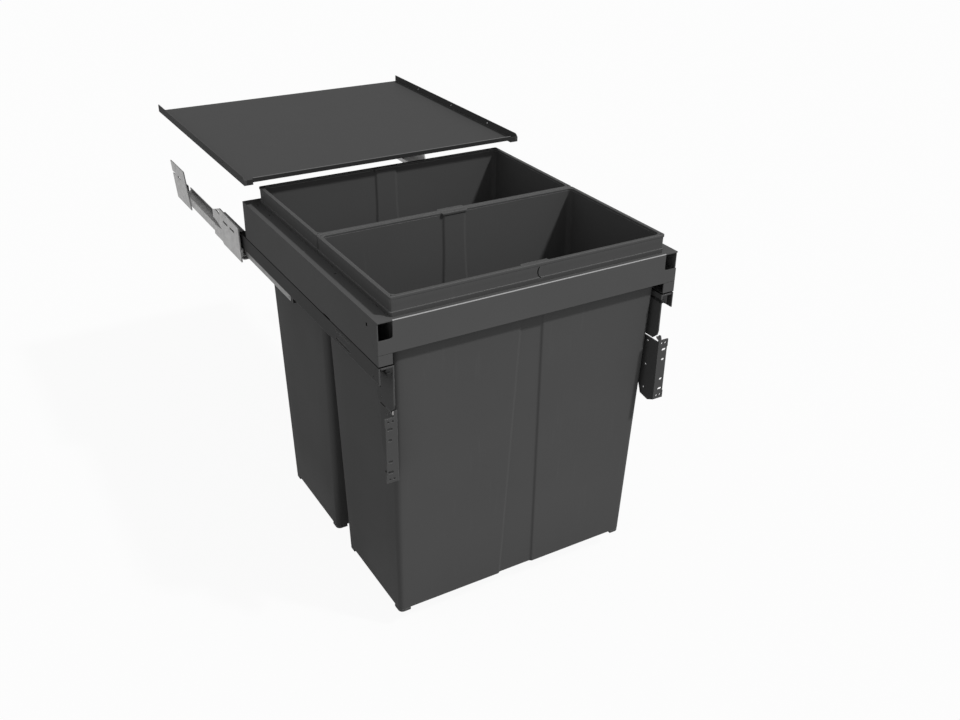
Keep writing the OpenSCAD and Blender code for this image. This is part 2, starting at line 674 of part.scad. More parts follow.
module release_lever(side) color("#1f1f20") place() handed(side) difference() {
  union() {
    block([lever_x0, -lever_tip, lever_z1 - lever_h], [lever_x1, lever_pivot, lever_z1]);
    bar_x(lever_x0, lever_x1, lever_pivot, lever_pin_z, boss_r);
    block([lever_x0, hook_y0, lever_z1 - over], [lever_x1, hook_y1, hook_top]);
  }
  bar_x(lever_x0 - over, lever_x1 + over, lever_pivot, lever_pin_z, lever_pin_r + fit_gap);
}

// Door bracket: an angle whose tongue rises behind the hanger plate
web_y1 = door_web_d - door_reach;
web_low_z = door_face_z0 - arm_t * 4;
web_cut_y = web_y1 - door_web_d / 3;
web_cut_z = door_face_z0 + door_h * 0.377;
lip_y0 = door_web_d * 0.133;
lip_w = arm_t * 3;
knuckle_w = arm_t * 2.5;
knuckle_h = arm_t * 4.5;
tongue_y0 = clamp_y - clamp_r * 4.5;
tongue_y1 = clamp_y + clamp_r * 4;
tongue_z1 = clamp_z[1] + clamp_r * 3;
tongue_x1 = arm_x0 - fit_gap;
slot_x = door_x1 - slot_edge;
pair_x = door_x1 - pair_edge;
web_mark_y = door_web_d * 0.44;

module web_outline() polygon([[-door_reach, door_z1], [web_y1, door_z1], [web_y1, web_cut_z],
  [web_cut_y, door_face_z0 - arm_t * 1.5], [lip_y0 + arm_t, web_low_z + arm_t], [-door_reach, door_face_z0]]);

module face_outline() polygon([[arm_x0, door_face_z1], [door_x1, door_face_z1],
  [door_x1, door_mid_z + pair_pitch / 2 - pair_gap], [door_x1 - door_waist, door_mid_z + pair_pitch / 2 - pair_gap - over],
  [door_x1 - door_waist, door_mid_z - pair_pitch / 2 + pair_gap + over], [door_x1, door_mid_z - pair_pitch / 2 + pair_gap],
  [door_x1, door_face_z0], [arm_x0, door_face_z0]]);

module door_bracket(side) color("#4b4b4c") place() handed(side) difference() {
  union() {
    along_x(arm_x0, arm_x1) web_outline();
    along_y(-door_reach, -door_reach + arm_t) face_outline();
    along_y(-door_reach, -door_reach + arm_t) polygon([[arm_x0, door_face_z1 - over], [arm_x0, door_face_z1 + knuckle_h],
      [arm_x0 + knuckle_w * 0.6, door_face_z1 + knuckle_h * 0.9], [arm_x0 + knuckle_w, door_face_z1 - over]]);
    block([arm_x0, lip_y0, door_face_z0 - arm_t * 1.5], [arm_x0 + lip_w, web_cut_y, door_face_z0 - arm_t * 0.8]);
    block([tongue_x1 - arm_t, tongue_y0, door_z1 - clamp_r * 5], [tongue_x1, tongue_y1, tongue_z1]);
    block([tongue_x1 - over / 2, tongue_y0, door_z1 - clamp_r * 5], [arm_x0 + over / 2, tongue_y1, door_z1]);
  }
  for (z = clamp_z) tall_slot_x(tongue_x1 - arm_t - over, arm_x0 - fit_gap / 2, clamp_y, z + (door_down - door_up) / 2,
    door_up + door_down + 2 * (clamp_r + fit_gap), clamp_r + fit_gap);
  for (s = [-1, 1]) {
    slot_through_y(-door_reach - over, -door_reach + arm_t + over, slot_x, door_mid_z + s * short_pitch / 2,
      short_slot_l, door_slot_r);
    slot_through_y(-door_reach - over, -door_reach + arm_t + over, slot_x, door_mid_z + s * long_pitch / 2,
      long_slot_l, door_slot_r);
    for (t = [-1, 1]) bar_y(-door_reach - over, -door_reach + arm_t + over, pair_x + t * pair_gap / 2,
      door_mid_z + s * pair_pitch / 2, door_hole_r);
  }
  for (i = [-1 : 1]) bar_x(arm_x0 - over, arm_x1 + over, web_mark_y, door_mid_z + i * pair_pitch * 0.45, door_hole_r);
}

// Clamp screws: a head, a shank through the tongue's slot and a thinner end in the hanger plate
module clamp_screws(side) color("#c9c9c6") place() handed(side) for (z = clamp_z) {
  bar_x(tongue_x1 - arm_t - fit_gap, arm_x0, clamp_y, z, clamp_r);
  bar_x(tongue_x1 - arm_t - fit_gap, arm_x1, clamp_y, z, clamp_r * 0.8);
  bar_x(tongue_x1 - arm_t - fit_gap - head_h, tongue_x1 - arm_t - fit_gap, clamp_y, z, clamp_r * 2);
}

// Middle rail: a closed section with a box above and a wider foot below
module middle_outline(inset) polygon([[box_x0 + inset, foot_z0 + inset], [foot_x1 - inset, foot_z0 + inset],
  [foot_x1 - inset, foot_z1 - inset], [box_x1 - inset, foot_z1 - inset], [box_x1 - inset, box_z1 - inset],
  [box_x0 + inset, box_z1 - inset]]);

plug_l = 10;
nose_hole_y = middle_y0 + plug_l / 2;

module middle_rail(side) color("#9d9d9a") place() handed(side) difference() {
  along_y(middle_y0, middle_y1) difference() {
    middle_outline(0);
    middle_outline(sheet);
  }
  bar_x(foot_x1 - sheet - over, foot_x1 + over, nose_hole_y, lower_row_z, frame_hole_r);
}

module middle_nose(side) color("#1d1d1e") place() handed(side) union() {
  along_y(middle_y0 - nose_l, middle_y0) middle_outline(fit_gap * 3);
  along_y(middle_y0 - over, middle_y0 + plug_l) middle_outline(sheet + fit_gap);
}

// Ball cages stand in the middle of the ball gaps
upper_in_x = run_x0 + run_gap / 2;
upper_out_x = half_frame - sheet - run_gap / 2;
upper_top_z = web_z - run_gap / 2;
upper_mid_x = (box_x0 + box_x1) / 2;
lower_out_x = half_rail - sheet - run_gap / 2;
lower_low_z = rail_z1 + run_gap / 2;
lower_mid_x = (box_x0 + foot_x1) / 2;
cage_half = cage_t / 2;
upper_leg_z = -frame_h - carrier_in_h + pass_gap;
lower_leg_z = foot_z1 - pass_gap;

module upper_cage_outline() difference() {
  polygon([[upper_in_x - cage_half, upper_leg_z], [upper_in_x - cage_half, upper_top_z + cage_half],
    [upper_out_x + cage_half, upper_top_z + cage_half], [upper_out_x + cage_half, upper_leg_z]]);
  polygon([[upper_in_x + cage_half, upper_leg_z - over], [upper_in_x + cage_half, upper_top_z - cage_half],
    [upper_out_x - cage_half, upper_top_z - cage_half], [upper_out_x - cage_half, upper_leg_z - over]]);
}

module lower_cage_outline() polygon([[box_x0 - cage_t, lower_low_z - cage_half], [lower_out_x + cage_half, lower_low_z - cage_half],
  [lower_out_x + cage_half, lower_leg_z], [lower_out_x - cage_half, lower_leg_z],
  [lower_out_x - cage_half, lower_low_z + cage_half], [box_x0 - cage_t, lower_low_z + cage_half]]);

function row(y0, l, n) = [for (i = [0 : n - 1]) y0 + l * (i + 0.5) / n];
upper_row = row(upper_cage_y, upper_cage_l, upper_balls);
lower_row = row(lower_cage_y, lower_cage_l, lower_balls);
pocket_r = ball_d / 2 + fit_gap;

module upper_cage(side) color("#d9d9d4") place() handed(side) difference() {
  along_y(upper_cage_y, upper_cage_y + upper_cage_l) upper_cage_outline();
  for (y = upper_row) {
    bar_x(upper_in_x - cage_t, upper_in_x + cage_t, y, upper_row_z, pocket_r);
    bar_x(upper_out_x - cage_t, upper_out_x + cage_t, y, upper_row_z, pocket_r);
    bar_z(upper_top_z - cage_t, upper_top_z + cage_t, upper_mid_x, y, pocket_r);
  }
}

module upper_balls_set(side) color("#e2e2e2") place() handed(side) for (y = upper_row) {
  translate([upper_in_x, y, upper_row_z]) sphere(d = ball_d);
  translate([upper_out_x, y, upper_row_z]) sphere(d = ball_d);
  translate([upper_mid_x, y, upper_top_z]) sphere(d = ball_d);
}

module lower_cage(side) color("#d9d9d4") place() handed(side) difference() {
  along_y(lower_cage_y, lower_cage_y + lower_cage_l) lower_cage_outline();
  for (y = lower_row) {
    bar_x(lower_out_x - cage_t, lower_out_x + cage_t, y, lower_row_z, pocket_r);
    bar_z(lower_low_z - cage_t, lower_low_z + cage_t, lower_mid_x, y, pocket_r);
  }
}

module lower_balls_set(side) color("#e2e2e2") place() handed(side) for (y = lower_row) {
  translate([lower_out_x, y, lower_row_z]) sphere(d = ball_d);
  translate([lower_mid_x, y, lower_low_z]) sphere(d = ball_d);
}

// Bins: drawn about the middle of the rim, with the frame's top at zero
half_rim_d = rim_d / 2;
half_body_d = half_rim_d - body_inset;
leaf = 0.01;
panel_top_z = -face_h + panel_sink * 4;

// A thin slice of the body's outline at a height, grown or shrunk by an amount
module body_slice(z, grow) {
  share = -z / bin_h;
  w = half_body - side_taper * share + grow;
  d = half_body_d - end_taper * share + grow;
  r = corner_r + (foot_r - corner_r) * share + grow;
  translate([0, 0, z]) linear_extrude(leaf) rounded(w, d, r);
}

module rounded(w, d, r) hull() for (x = [-1, 1], y = [-1, 1]) translate([x * (w - r), y * (d - r)]) circle(r = r);

// The sunk panel, leaning with the wall; grow widens and deepens it
module panel_wedge(grow) for (s = [-1, 1]) hull() {
  panel_slice(s, panel_top_z + grow, panel_top + grow, grow);
  panel_slice(s, -bin_h, panel_foot + grow, grow);
}

// Inside the bin the panel stands proud, and runs on up to the rim
module panel_rise() for (s = [-1, 1]) {
  y0 = half_body_d - bin_wall - panel_sink;
  hull() {
    panel_slice(s, 0, panel_top + bin_wall, bin_wall);
    panel_slice(s, panel_top_z, panel_top + bin_wall, bin_wall);
  }
  block([-panel_top - bin_wall, min(s * y0, s * half_body_d), -leaf], [panel_top + bin_wall, max(s * y0, s * half_body_d), collar_h]);
}

module panel_slice(s, z, half, grow) {
  d = half_body_d + end_taper * z / bin_h;
  block([-half, min(s * (d - panel_sink - grow), s * (d + over)), z],
    [half, max(s * (d - panel_sink - grow), s * (d + over)), z + leaf]);
}

// The collar's wall stands just inside the ledge below it and the rim's band above it
module collar_outer() {
  linear_extrude(ledge_h) rounded(half_rim, half_rim_d, collar_r);
  linear_extrude(collar_h) rounded(half_rim - collar_set, half_rim_d - collar_set, collar_r - collar_set / 2);
  translate([0, 0, collar_h - rim_h]) linear_extrude(rim_h) rounded(half_rim, half_rim_d, collar_r);
}

// The finger hold is a lip as thick as the rim's band, with a long slot in its top
hold_round = hold_reach / 2;
hold_slot_w = hold_reach * 0.3;
hold_slot_l = hold_half * 0.45;

module finger_holds() for (s = [-1, 1]) {
  y0 = half_body_d - bin_wall;
  translate([0, 0, collar_h - rim_h]) linear_extrude(rim_h) polygon([[-hold_half, s * (y0 + over)],
    [-hold_half, s * y0], [-hold_half + hold_round, s * (y0 - hold_reach)],
    [hold_half - hold_round, s * (y0 - hold_reach)], [hold_half, s * y0], [hold_half, s * (y0 + over)]]);
}

module hold_slots() for (s = [-1, 1]) {
  y0 = half_body_d - bin_wall - hold_reach * 0.5;
  translate([0, s * y0, collar_h - rim_h / 2]) linear_extrude(rim_h) square([hold_slot_l * 2, hold_slot_w], center = true);
}

// A crescent groove in the collar's front, and a small pocket in each corner of the rim
mark_x = mark_r * 1.1;
mark_z = collar_h * 0.536;
mark_a0 = 125;
mark_a1 = 255;
mark_steps = 10;
mark_deep = bin_wall + panel_sink / 3;
mark_thin_share = 0.3;
corner_in = 5.2;
corner_pocket_r = 2;

// The inner edge of the crescent draws away from its outer edge, most of it in the lower half
function mark_inner(i) = mark_r - mark_w * (mark_thin_share + (1 - mark_thin_share) * sin(180 * pow(i / mark_steps, 0.7)));

module collar_mark() along_y(-half_rim_d - over, -half_rim_d + collar_set + mark_deep) polygon(concat(
  arc([mark_x, mark_z], mark_r, mark_a0, mark_a1, mark_steps),
  [for (i = [mark_steps : -1 : 0]) let (a = mark_a0 + (mark_a1 - mark_a0) * i / mark_steps)
    [mark_x, mark_z] + mark_inner(i) * [cos(a), sin(a)]]));

module corner_pockets() for (s = [-1, 1], t = [-1, 1]) {
  x = s * (half_rim - corner_in);
  y = t * (half_rim_d - corner_in);
  translate([x, y, collar_h - rim_h]) linear_extrude(rim_h + over) difference() {
    circle(r = corner_pocket_r);
    translate([-s, -t] * corner_pocket_r * 0.7) circle(r = corner_pocket_r * 1.1);
  }
}

module bin_cavity() {
  hull() {
    body_slice(0, -bin_wall);
    body_slice(-bin_h + foot_h + bin_floor, -bin_wall);
  }
  translate([0, 0, -leaf]) linear_extrude(collar_h + over) rounded(half_body - bin_wall, half_body_d - bin_wall,
    corner_r - bin_wall);
}

module feet_gap() {
  half_w = half_body - side_taper;
  half_d = half_body_d - end_taper;
  block([-half_w + foot_l, -half_d - over, -bin_h - over], [half_w - foot_l, half_d + over, -bin_h + foot_h]);
  block([-half_w - over, -half_d + foot_l, -bin_h - over], [half_w + over, half_d - foot_l, -bin_h + foot_h]);
}

module bin_shell() difference() {
  union() {
    hull() {
      body_slice(0, 0);
      body_slice(-bin_h, 0);
    }
    collar_outer();
  }
  difference() {
    bin_cavity();
    panel_wedge(bin_wall);
    panel_rise();
    finger_holds();
  }
  panel_wedge(0);
  hold_slots();
  collar_mark();
  corner_pockets();
  feet_gap();
}

module front_bin() color("#484849") place() translate([0, bins_y0 + half_rim_d, 0]) bin_shell();
module rear_bin() color("#464647") place() translate([0, bins_y0 + pitch_y + half_rim_d, 0]) bin_shell();

lid_panel();
cabinet_rail(-1);  // left_cabinet_rail
cabinet_rail(1);  // right_cabinet_rail
front_bracket(-1);  // left_front_bracket
front_bracket(1);  // right_front_bracket
rear_bracket(-1);  // left_rear_bracket
rear_bracket(1);  // right_rear_bracket
rail_rivets(-1);  // left_rail_rivets
rail_rivets(1);  // right_rail_rivets
rail_stop(-1);  // left_rail_stop
rail_stop(1);  // right_rail_stop
frame_front();
frame_rear();
frame_side(-1);  // left_frame_side
frame_side(1);  // right_frame_side
frame_rivets();
carrier_rail(-1);  // left_carrier_rail
carrier_rail(1);  // right_carrier_rail
hanger_plate(-1);  // left_hanger_plate
hanger_plate(1);  // right_hanger_plate
hanger_rivets();
lock_block(-1);  // left_lock_block
lock_block(1);  // right_lock_block
lever_pin(-1);  // left_lever_pin
lever_pin(1);  // right_lever_pin
clamp_screws(-1);  // left_clamp_screws
clamp_screws(1);  // right_clamp_screws
release_lever(-1);  // left_release_lever
release_lever(1);  // right_release_lever
door_bracket(-1);  // left_door_bracket
door_bracket(1);  // right_door_bracket
middle_rail(-1);  // left_middle_rail
middle_rail(1);  // right_middle_rail
middle_nose(-1);  // left_middle_nose
middle_nose(1);  // right_middle_nose
upper_cage(-1);  // left_upper_cage
upper_cage(1);  // right_upper_cage
lower_cage(-1);  // left_lower_cage
lower_cage(1);  // right_lower_cage
upper_balls_set(-1);  // left_upper_balls
upper_balls_set(1);  // right_upper_balls
lower_balls_set(-1);  // left_lower_balls
lower_balls_set(1);  // right_lower_balls
front_bin();
rear_bin();
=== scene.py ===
# %% [markdown]
# # A pull-out waste unit, dressed for its portrait
# The unit hangs between the sides of a kitchen cabinet: two bins in a sheet-metal frame, ball runners
# under the frame, a fixed lid above and two brackets that carry the door.
# The imported model already gives every part its true shape and place, so this lesson only adds what a CAD
# file lacks.
# First the model is loaded as a fixed frame.

# %% Load the model
import bpy
import bmesh
import math
from mathutils import Matrix, Vector


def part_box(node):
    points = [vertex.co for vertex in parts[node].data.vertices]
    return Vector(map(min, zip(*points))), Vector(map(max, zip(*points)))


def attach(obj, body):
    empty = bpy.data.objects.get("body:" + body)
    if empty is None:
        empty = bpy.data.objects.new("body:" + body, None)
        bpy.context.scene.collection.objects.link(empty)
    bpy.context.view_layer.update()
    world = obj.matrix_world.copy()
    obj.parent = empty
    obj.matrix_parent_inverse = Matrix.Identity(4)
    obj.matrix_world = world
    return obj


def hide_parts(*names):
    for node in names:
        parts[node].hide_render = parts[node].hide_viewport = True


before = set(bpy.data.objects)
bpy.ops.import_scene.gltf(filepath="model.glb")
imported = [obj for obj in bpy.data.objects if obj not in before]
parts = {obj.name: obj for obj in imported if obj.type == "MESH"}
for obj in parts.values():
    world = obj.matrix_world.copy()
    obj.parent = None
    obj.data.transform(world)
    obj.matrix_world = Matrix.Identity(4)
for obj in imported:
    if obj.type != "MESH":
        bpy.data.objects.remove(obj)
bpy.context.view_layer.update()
mm = 0.001

# %% [markdown]
# ## The camera
# The portrait is taken from the unit's front left and from above.
# A camera could be aimed by eye, but then edges drift against the photograph.
# Here its place, its two angles, a slight roll and its lens were worked out from straight edges of the
# frame, and the place is counted from the frame's front plate.
# The three axes below are the camera's right, up and backward directions, put together as one matrix.

# %% Camera
view_azimuth = math.radians(-30.91)
view_height = math.radians(28.71)
view_roll = math.radians(0.896)
view_x, view_ahead, view_above = -0.6814, 0.9958, 0.5500
lens_mm, sensor_mm = 39.197, 36
plate_low, plate_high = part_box("frame_front")
view_place = Vector((view_x, plate_low.y - view_ahead, plate_high.z + view_above))

level_share = math.cos(view_height)
backward = Vector((math.sin(view_azimuth) * level_share, -math.cos(view_azimuth) * level_share,
                   math.sin(view_height)))
level = (-backward).cross(Vector((0, 0, 1))).normalized()
upright = level.cross(-backward)
across = math.cos(view_roll) * level + math.sin(view_roll) * upright
upward = math.cos(view_roll) * upright - math.sin(view_roll) * level
view_turn = Matrix((across, upward, backward)).transposed().to_4x4()

camera = bpy.data.objects.new("portrait_camera", bpy.data.cameras.new("portrait_lens"))
bpy.context.scene.collection.objects.link(camera)
camera.data.sensor_width = sensor_mm
camera.data.lens = lens_mm
camera.matrix_world = Matrix.Translation(view_place) @ view_turn
bpy.context.scene.camera = camera
print("camera at", tuple(round(v, 4) for v in view_place), "lens", round(camera.data.lens, 2))

# %% [markdown]
# ## Floor, lamps and world
# A catalogue picture has a seamless white ground and one main light with a great deal of even fill.
# The floor here is a plain pale sheet a little below the feet, because the real unit hangs clear of the
# cabinet's floor.
# The world is the even white fill. The main light comes from the front right and from above, so fronts
# and tops are equally light and the left sides a step darker. A sun lamp gives every part the same light,
# however far back it is, and its width in degrees sets how soft the shadow under the front plate is.
# The floor reads as white to the camera and to shiny metal, but it still takes the unit's shadow.

# %% Colours and node helpers
def grey(shade, warmth=0.0):
    """A neutral colour from its 0-255 screen value, a little warm with a warmth above 0."""
    linear = ((shade / 255 + 0.055) / 1.055) ** 2.4
    return (linear * (1 + warmth), linear, linear * (1 - warmth), 1)


def add(tree, kind, **inputs):
    """Adds one shader node and sets its named inputs or properties."""
    node = tree.nodes.new(kind)
    for name, value in inputs.items():
        label = name.replace("_", " ")
        if label in node.inputs:
            node.inputs[label].default_value = value
        else:
            setattr(node, name, value)
    return node


# %% Floor
floor_z, floor_half = -0.03, 8
floor_shade, floor_glow = 188, 0.94
corners = [(k * floor_half, n * floor_half, floor_z) for k, n in ((-1, -1), (1, -1), (1, 1), (-1, 1))]
floor_mesh = bpy.data.meshes.new("studio_floor")
floor_mesh.from_pydata(corners, [], [(0, 1, 2, 3)])
floor = bpy.data.objects.new("studio_floor", floor_mesh)
bpy.context.scene.collection.objects.link(floor)
paper = bpy.data.materials.new("white_paper")
paper.use_nodes = True
tree = paper.node_tree
tree.nodes.clear()
matt = add(tree, "ShaderNodeBsdfDiffuse", Color=grey(floor_shade))
white = add(tree, "ShaderNodeEmission", Color=(1, 1, 1, 1), Strength=1.0)
seen_by = add(tree, "ShaderNodeLightPath")
direct = add(tree, "ShaderNodeMath", operation="MAXIMUM")
share = add(tree, "ShaderNodeMath", operation="MULTIPLY")
share.inputs[1].default_value = floor_glow
blend = add(tree, "ShaderNodeMixShader")
out = add(tree, "ShaderNodeOutputMaterial")
tree.links.new(seen_by.outputs["Is Camera Ray"], direct.inputs[0])
tree.links.new(seen_by.outputs["Is Glossy Ray"], direct.inputs[1])
tree.links.new(direct.outputs[0], share.inputs[0])
tree.links.new(share.outputs[0], blend.inputs[0])
tree.links.new(matt.outputs[0], blend.inputs[1])
tree.links.new(white.outputs[0], blend.inputs[2])
tree.links.new(blend.outputs[0], out.inputs[0])
floor_mesh.materials.append(paper)

# %% World and main light
fill, backdrop = 0.6, 1.0
sun_strength, sun_width = 2.65, math.radians(4)
sun_side = Vector((0.5, -0.6, 1.0))
world = bpy.data.worlds.new("studio")
bpy.context.scene.world = world
world.use_nodes = True
tree = world.node_tree
tree.nodes.clear()
seen_by = add(tree, "ShaderNodeLightPath")
both = add(tree, "ShaderNodeMath", operation="MAXIMUM")
level_of = add(tree, "ShaderNodeMapRange", To_Min=fill, To_Max=backdrop)
sky = add(tree, "ShaderNodeBackground", Color=(1, 1, 1, 1))
out = add(tree, "ShaderNodeOutputWorld")
tree.links.new(seen_by.outputs["Is Camera Ray"], both.inputs[0])
tree.links.new(seen_by.outputs["Is Transmission Ray"], both.inputs[1])
tree.links.new(both.outputs[0], level_of.inputs["Value"])
tree.links.new(level_of.outputs[0], sky.inputs["Strength"])
tree.links.new(sky.outputs[0], out.inputs[0])

main_light = bpy.data.lights.new("main_light", "SUN")
main_light.energy = sun_strength
main_light.angle = sun_width
light_holder = bpy.data.objects.new("main_light", main_light)
light_holder.rotation_euler = sun_side.to_track_quat("Z", "Y").to_euler()
bpy.context.scene.collection.objects.link(light_holder)
bpy.context.scene.view_settings.view_transform = "Standard"
print("main light", sun_strength, "fill", fill)

# %% [markdown]
# ## A kit for finishes
# Every finish here is worked out from position, not from a picture, so it has the right scale on any part.
# Each one starts from the same Principled shader. Noise in object space moves its colour and roughness a
# little, as handling does, and a finer noise gives the bumps that the light catches.
# Folded sheet has no truly sharp edge, so a bevel reading rounds the light along each edge and marks the
# edge, where a paler grey stands partly for wear and partly for a painted highlight.

# %% Finish helpers
def start_finish(name, metallic, gloss=0.5):
    """A new material with its Principled shader, ready for its noises."""
    material = bpy.data.materials.new(name)
    material.use_nodes = True
    shader = material.node_tree.nodes["Principled BSDF"]
    shader.inputs["Metallic"].default_value = metallic
    shader.inputs["Specular IOR Level"].default_value = gloss
    place = add(material.node_tree, "ShaderNodeTexCoord")
    return material, material.node_tree, shader, place.outputs["Object"]


def mottle(tree, place, scale, detail=3.0, stretch=(1, 1, 1)):
    """Noise in object space; stretch above 1 makes it finer along that axis."""
    mapping = add(tree, "ShaderNodeMapping", Scale=stretch)
    noise = add(tree, "ShaderNodeTexNoise", Scale=scale, Detail=detail)
    tree.links.new(place, mapping.inputs["Vector"])
    tree.links.new(mapping.outputs[0], noise.inputs["Vector"])
    return noise.outputs["Fac"]


def spread(tree, value, low, high, start=0.3, end=0.7):
    """Brings a noise, which runs from start to end, to the range that a shader input needs."""
    node = add(tree, "ShaderNodeMapRange", From_Min=start, From_Max=end, To_Min=low, To_Max=high)
    tree.links.new(value, node.inputs["Value"])
    return node.outputs[0]


def blend_colours(tree, value, first, second):
    """A colour that runs from the first to the second with a value."""
    # A Mix node has sockets for every kind of data. Inputs 6 and 7 and output 2 are those for colours.
    node = add(tree, "ShaderNodeMix", data_type="RGBA")
    for socket, colour in ((node.inputs[6], first), (node.inputs[7], second)):
        if hasattr(colour, "links"):
            tree.links.new(colour, socket)
        else:
            socket.default_value = colour
    tree.links.new(value, node.inputs[0])
    return node.outputs[2]


def raise_bumps(tree, shader, height, distance, strength, edge):
    """Bumps from a height, over edges that are rounded by a small radius."""
    bump = add(tree, "ShaderNodeBump", Strength=strength, Distance=distance)
    tree.links.new(height, bump.inputs["Height"])
    rounding = add(tree, "ShaderNodeBevel", samples=4, Radius=edge)
    tree.links.new(rounding.outputs[0], bump.inputs["Normal"])
    tree.links.new(bump.outputs[0], shader.inputs["Normal"])


def edge_wear_and_highlight(tree, radius):
    """About 1 on a sharp edge and 0 on a flat face."""
    rounding = add(tree, "ShaderNodeBevel", samples=4, Radius=radius)
    true_face = add(tree, "ShaderNodeNewGeometry")
    dot = add(tree, "ShaderNodeVectorMath", operation="DOT_PRODUCT")
    tree.links.new(rounding.outputs[0], dot.inputs[0])
    tree.links.new(true_face.outputs["True Normal"], dot.inputs[1])
    return spread(tree, dot.outputs["Value"], 1.0, 0.0, 0.85, 0.995)


def patch(tree, place, spans):
    """1 inside a box that is given by a low and a high place along X, Y and Z, and 0 elsewhere."""
    axes = add(tree, "ShaderNodeSeparateXYZ")
    tree.links.new(place, axes.inputs[0])
    inside = None
    for axis, (low, high) in enumerate(spans):
        near = add(tree, "ShaderNodeMath", operation="COMPARE")
        near.inputs[1].default_value = (low + high) / 2
        near.inputs[2].default_value = (high - low) / 2
        tree.links.new(axes.outputs[axis], near.inputs[0])
        if inside:
            both = add(tree, "ShaderNodeMath", operation="MULTIPLY")
            tree.links.new(inside, both.inputs[0])
            tree.links.new(near.outputs[0], both.inputs[1])
        inside = both.outputs[0] if inside else near.outputs[0]
    return inside


def dress(material, *names):
    """Gives a finish to whole parts."""
    for name in names:
        parts[name].data.materials.clear()
        parts[name].data.materials.append(material)


def both_sides(*names):
    """The left and right part of each name."""
    return [side + "_" + name for name in names for side in ("left", "right")]


# %% [markdown]
# ## Powder-coated sheet
# The frame, its channels, the lid and the plates that carry the door are steel sheet with a dark grey
# powder coat.
# Powder melts into a skin with a fine orange peel, a little duller where it lies thick, and paler along
# bent edges, partly from wear and partly as a painted highlight. A tight noise makes the peel, a broad one
# the change in dullness, and the edge reading lets a lighter grey through.

# %% Powder coat
def powder_coat(name, shade, edge_shade, edge_radius, patches=()):
    """A coat with a paler grey on its edges, partly wear and partly a painted highlight. Each patch is a box
    in space, painted a grey of its own.
    """
    material, tree, shader, place = start_finish(name, 0.0, 0.01)
    broad = mottle(tree, place, 9.0, 4.0)
    fine = mottle(tree, place, 1100.0, 2.0)
    body = blend_colours(tree, spread(tree, broad, 0, 1), grey(shade - 1), grey(shade + 1))
    speck = spread(tree, mottle(tree, place, 2600.0, 0.0), 0.0, 0.5, 0.66, 0.78)
    body = blend_colours(tree, speck, body, grey(shade + 12))
    # The edge grey is partly wear and partly a painted highlight.
    wear_and_painted_light = blend_colours(tree, edge_wear_and_highlight(tree, edge_radius), body, grey(edge_shade))
    for spans, patch_shade in patches:
        wear_and_painted_light = blend_colours(tree, patch(tree, place, spans), wear_and_painted_light, grey(patch_shade))
    tree.links.new(wear_and_painted_light, shader.inputs["Base Color"])
    tree.links.new(spread(tree, broad, 0.46, 0.58), shader.inputs["Roughness"])
    raise_bumps(tree, shader, fine, 0.06 * mm, 0.3, edge_radius)
    return material


# %% [markdown]
# A few places look different from the rest of a coat, and each is a box in space.
# The fold along the front plate's top edge gets a painted highlight. The lid's front lip is painted darker,
# with a painted highlight line along its top. A painted shade darkens the seam between the frame's sides
# and the channels, and the hole near the front of each side.
# The boxes are counted from the boxes of the parts themselves, so they stay on their edges.

# %% Places of painted highlight and shade, and a darker lip
lid_low, lid_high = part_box("lid_panel")
side_low, side_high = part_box("left_frame_side")
fold, any_place = 1.0 * mm, (-1.0, 1.0)
highlight_inset, frame_tall = 20 * mm, 60 * mm
# A painted highlight along the front plate's top fold.
painted_highlight_fold = ((plate_low.x + highlight_inset, plate_high.x - highlight_inset), (plate_low.y - fold, plate_low.y + fold),
               (plate_high.z - fold, plate_high.z + fold))
lip_top = lid_high.z - 1.9 * mm
lip_ends, line_ends = lid_high.x - 4 * mm, lid_high.x - 13.6 * mm
lip_face, lip_deep, line_tall = 0.1 * mm, 1.5 * mm, 0.6 * mm
# The lip's front face is painted darker, and a painted highlight line runs along its top.
darker_lip_face = ((-lip_ends, lip_ends), (lid_low.y - fold, lid_low.y + lip_face), (lid_low.z, lip_top - line_tall))
lip_highlight_line = ((-line_ends, line_ends), (lid_low.y - fold, lid_low.y + lip_deep),
            (lip_top - line_tall, lip_top + fold))
seam_z, above_seam, below_seam, overlap = plate_high.z - frame_tall, 1.3 * mm, 0.6 * mm, 0.1 * mm
# A painted shade along the seam between the frame's sides and the channels, on both parts.
frame_seam_shade = (any_place, any_place, (seam_z - overlap, seam_z + above_seam))
channel_seam_shade = (any_place, any_place, (seam_z - below_seam, seam_z + overlap))
hole_back_share, hole_down_share = 0.0643, 0.233
hole_y = side_low.y + (side_high.y - side_low.y) * hole_back_share
hole_z = plate_high.z - frame_tall * hole_down_share
hole_wide, hole_tall = 1.9 * mm, 2.3 * mm
# A painted shade in the hole near the front of each side.
side_hole_shade = (any_place, (hole_y - hole_wide, hole_y + hole_wide), (hole_z - hole_tall, hole_z + hole_tall))
print("seam at", round(seam_z / mm, 1), "side hole at", round(hole_y / mm, 1), round(hole_z / mm, 1))

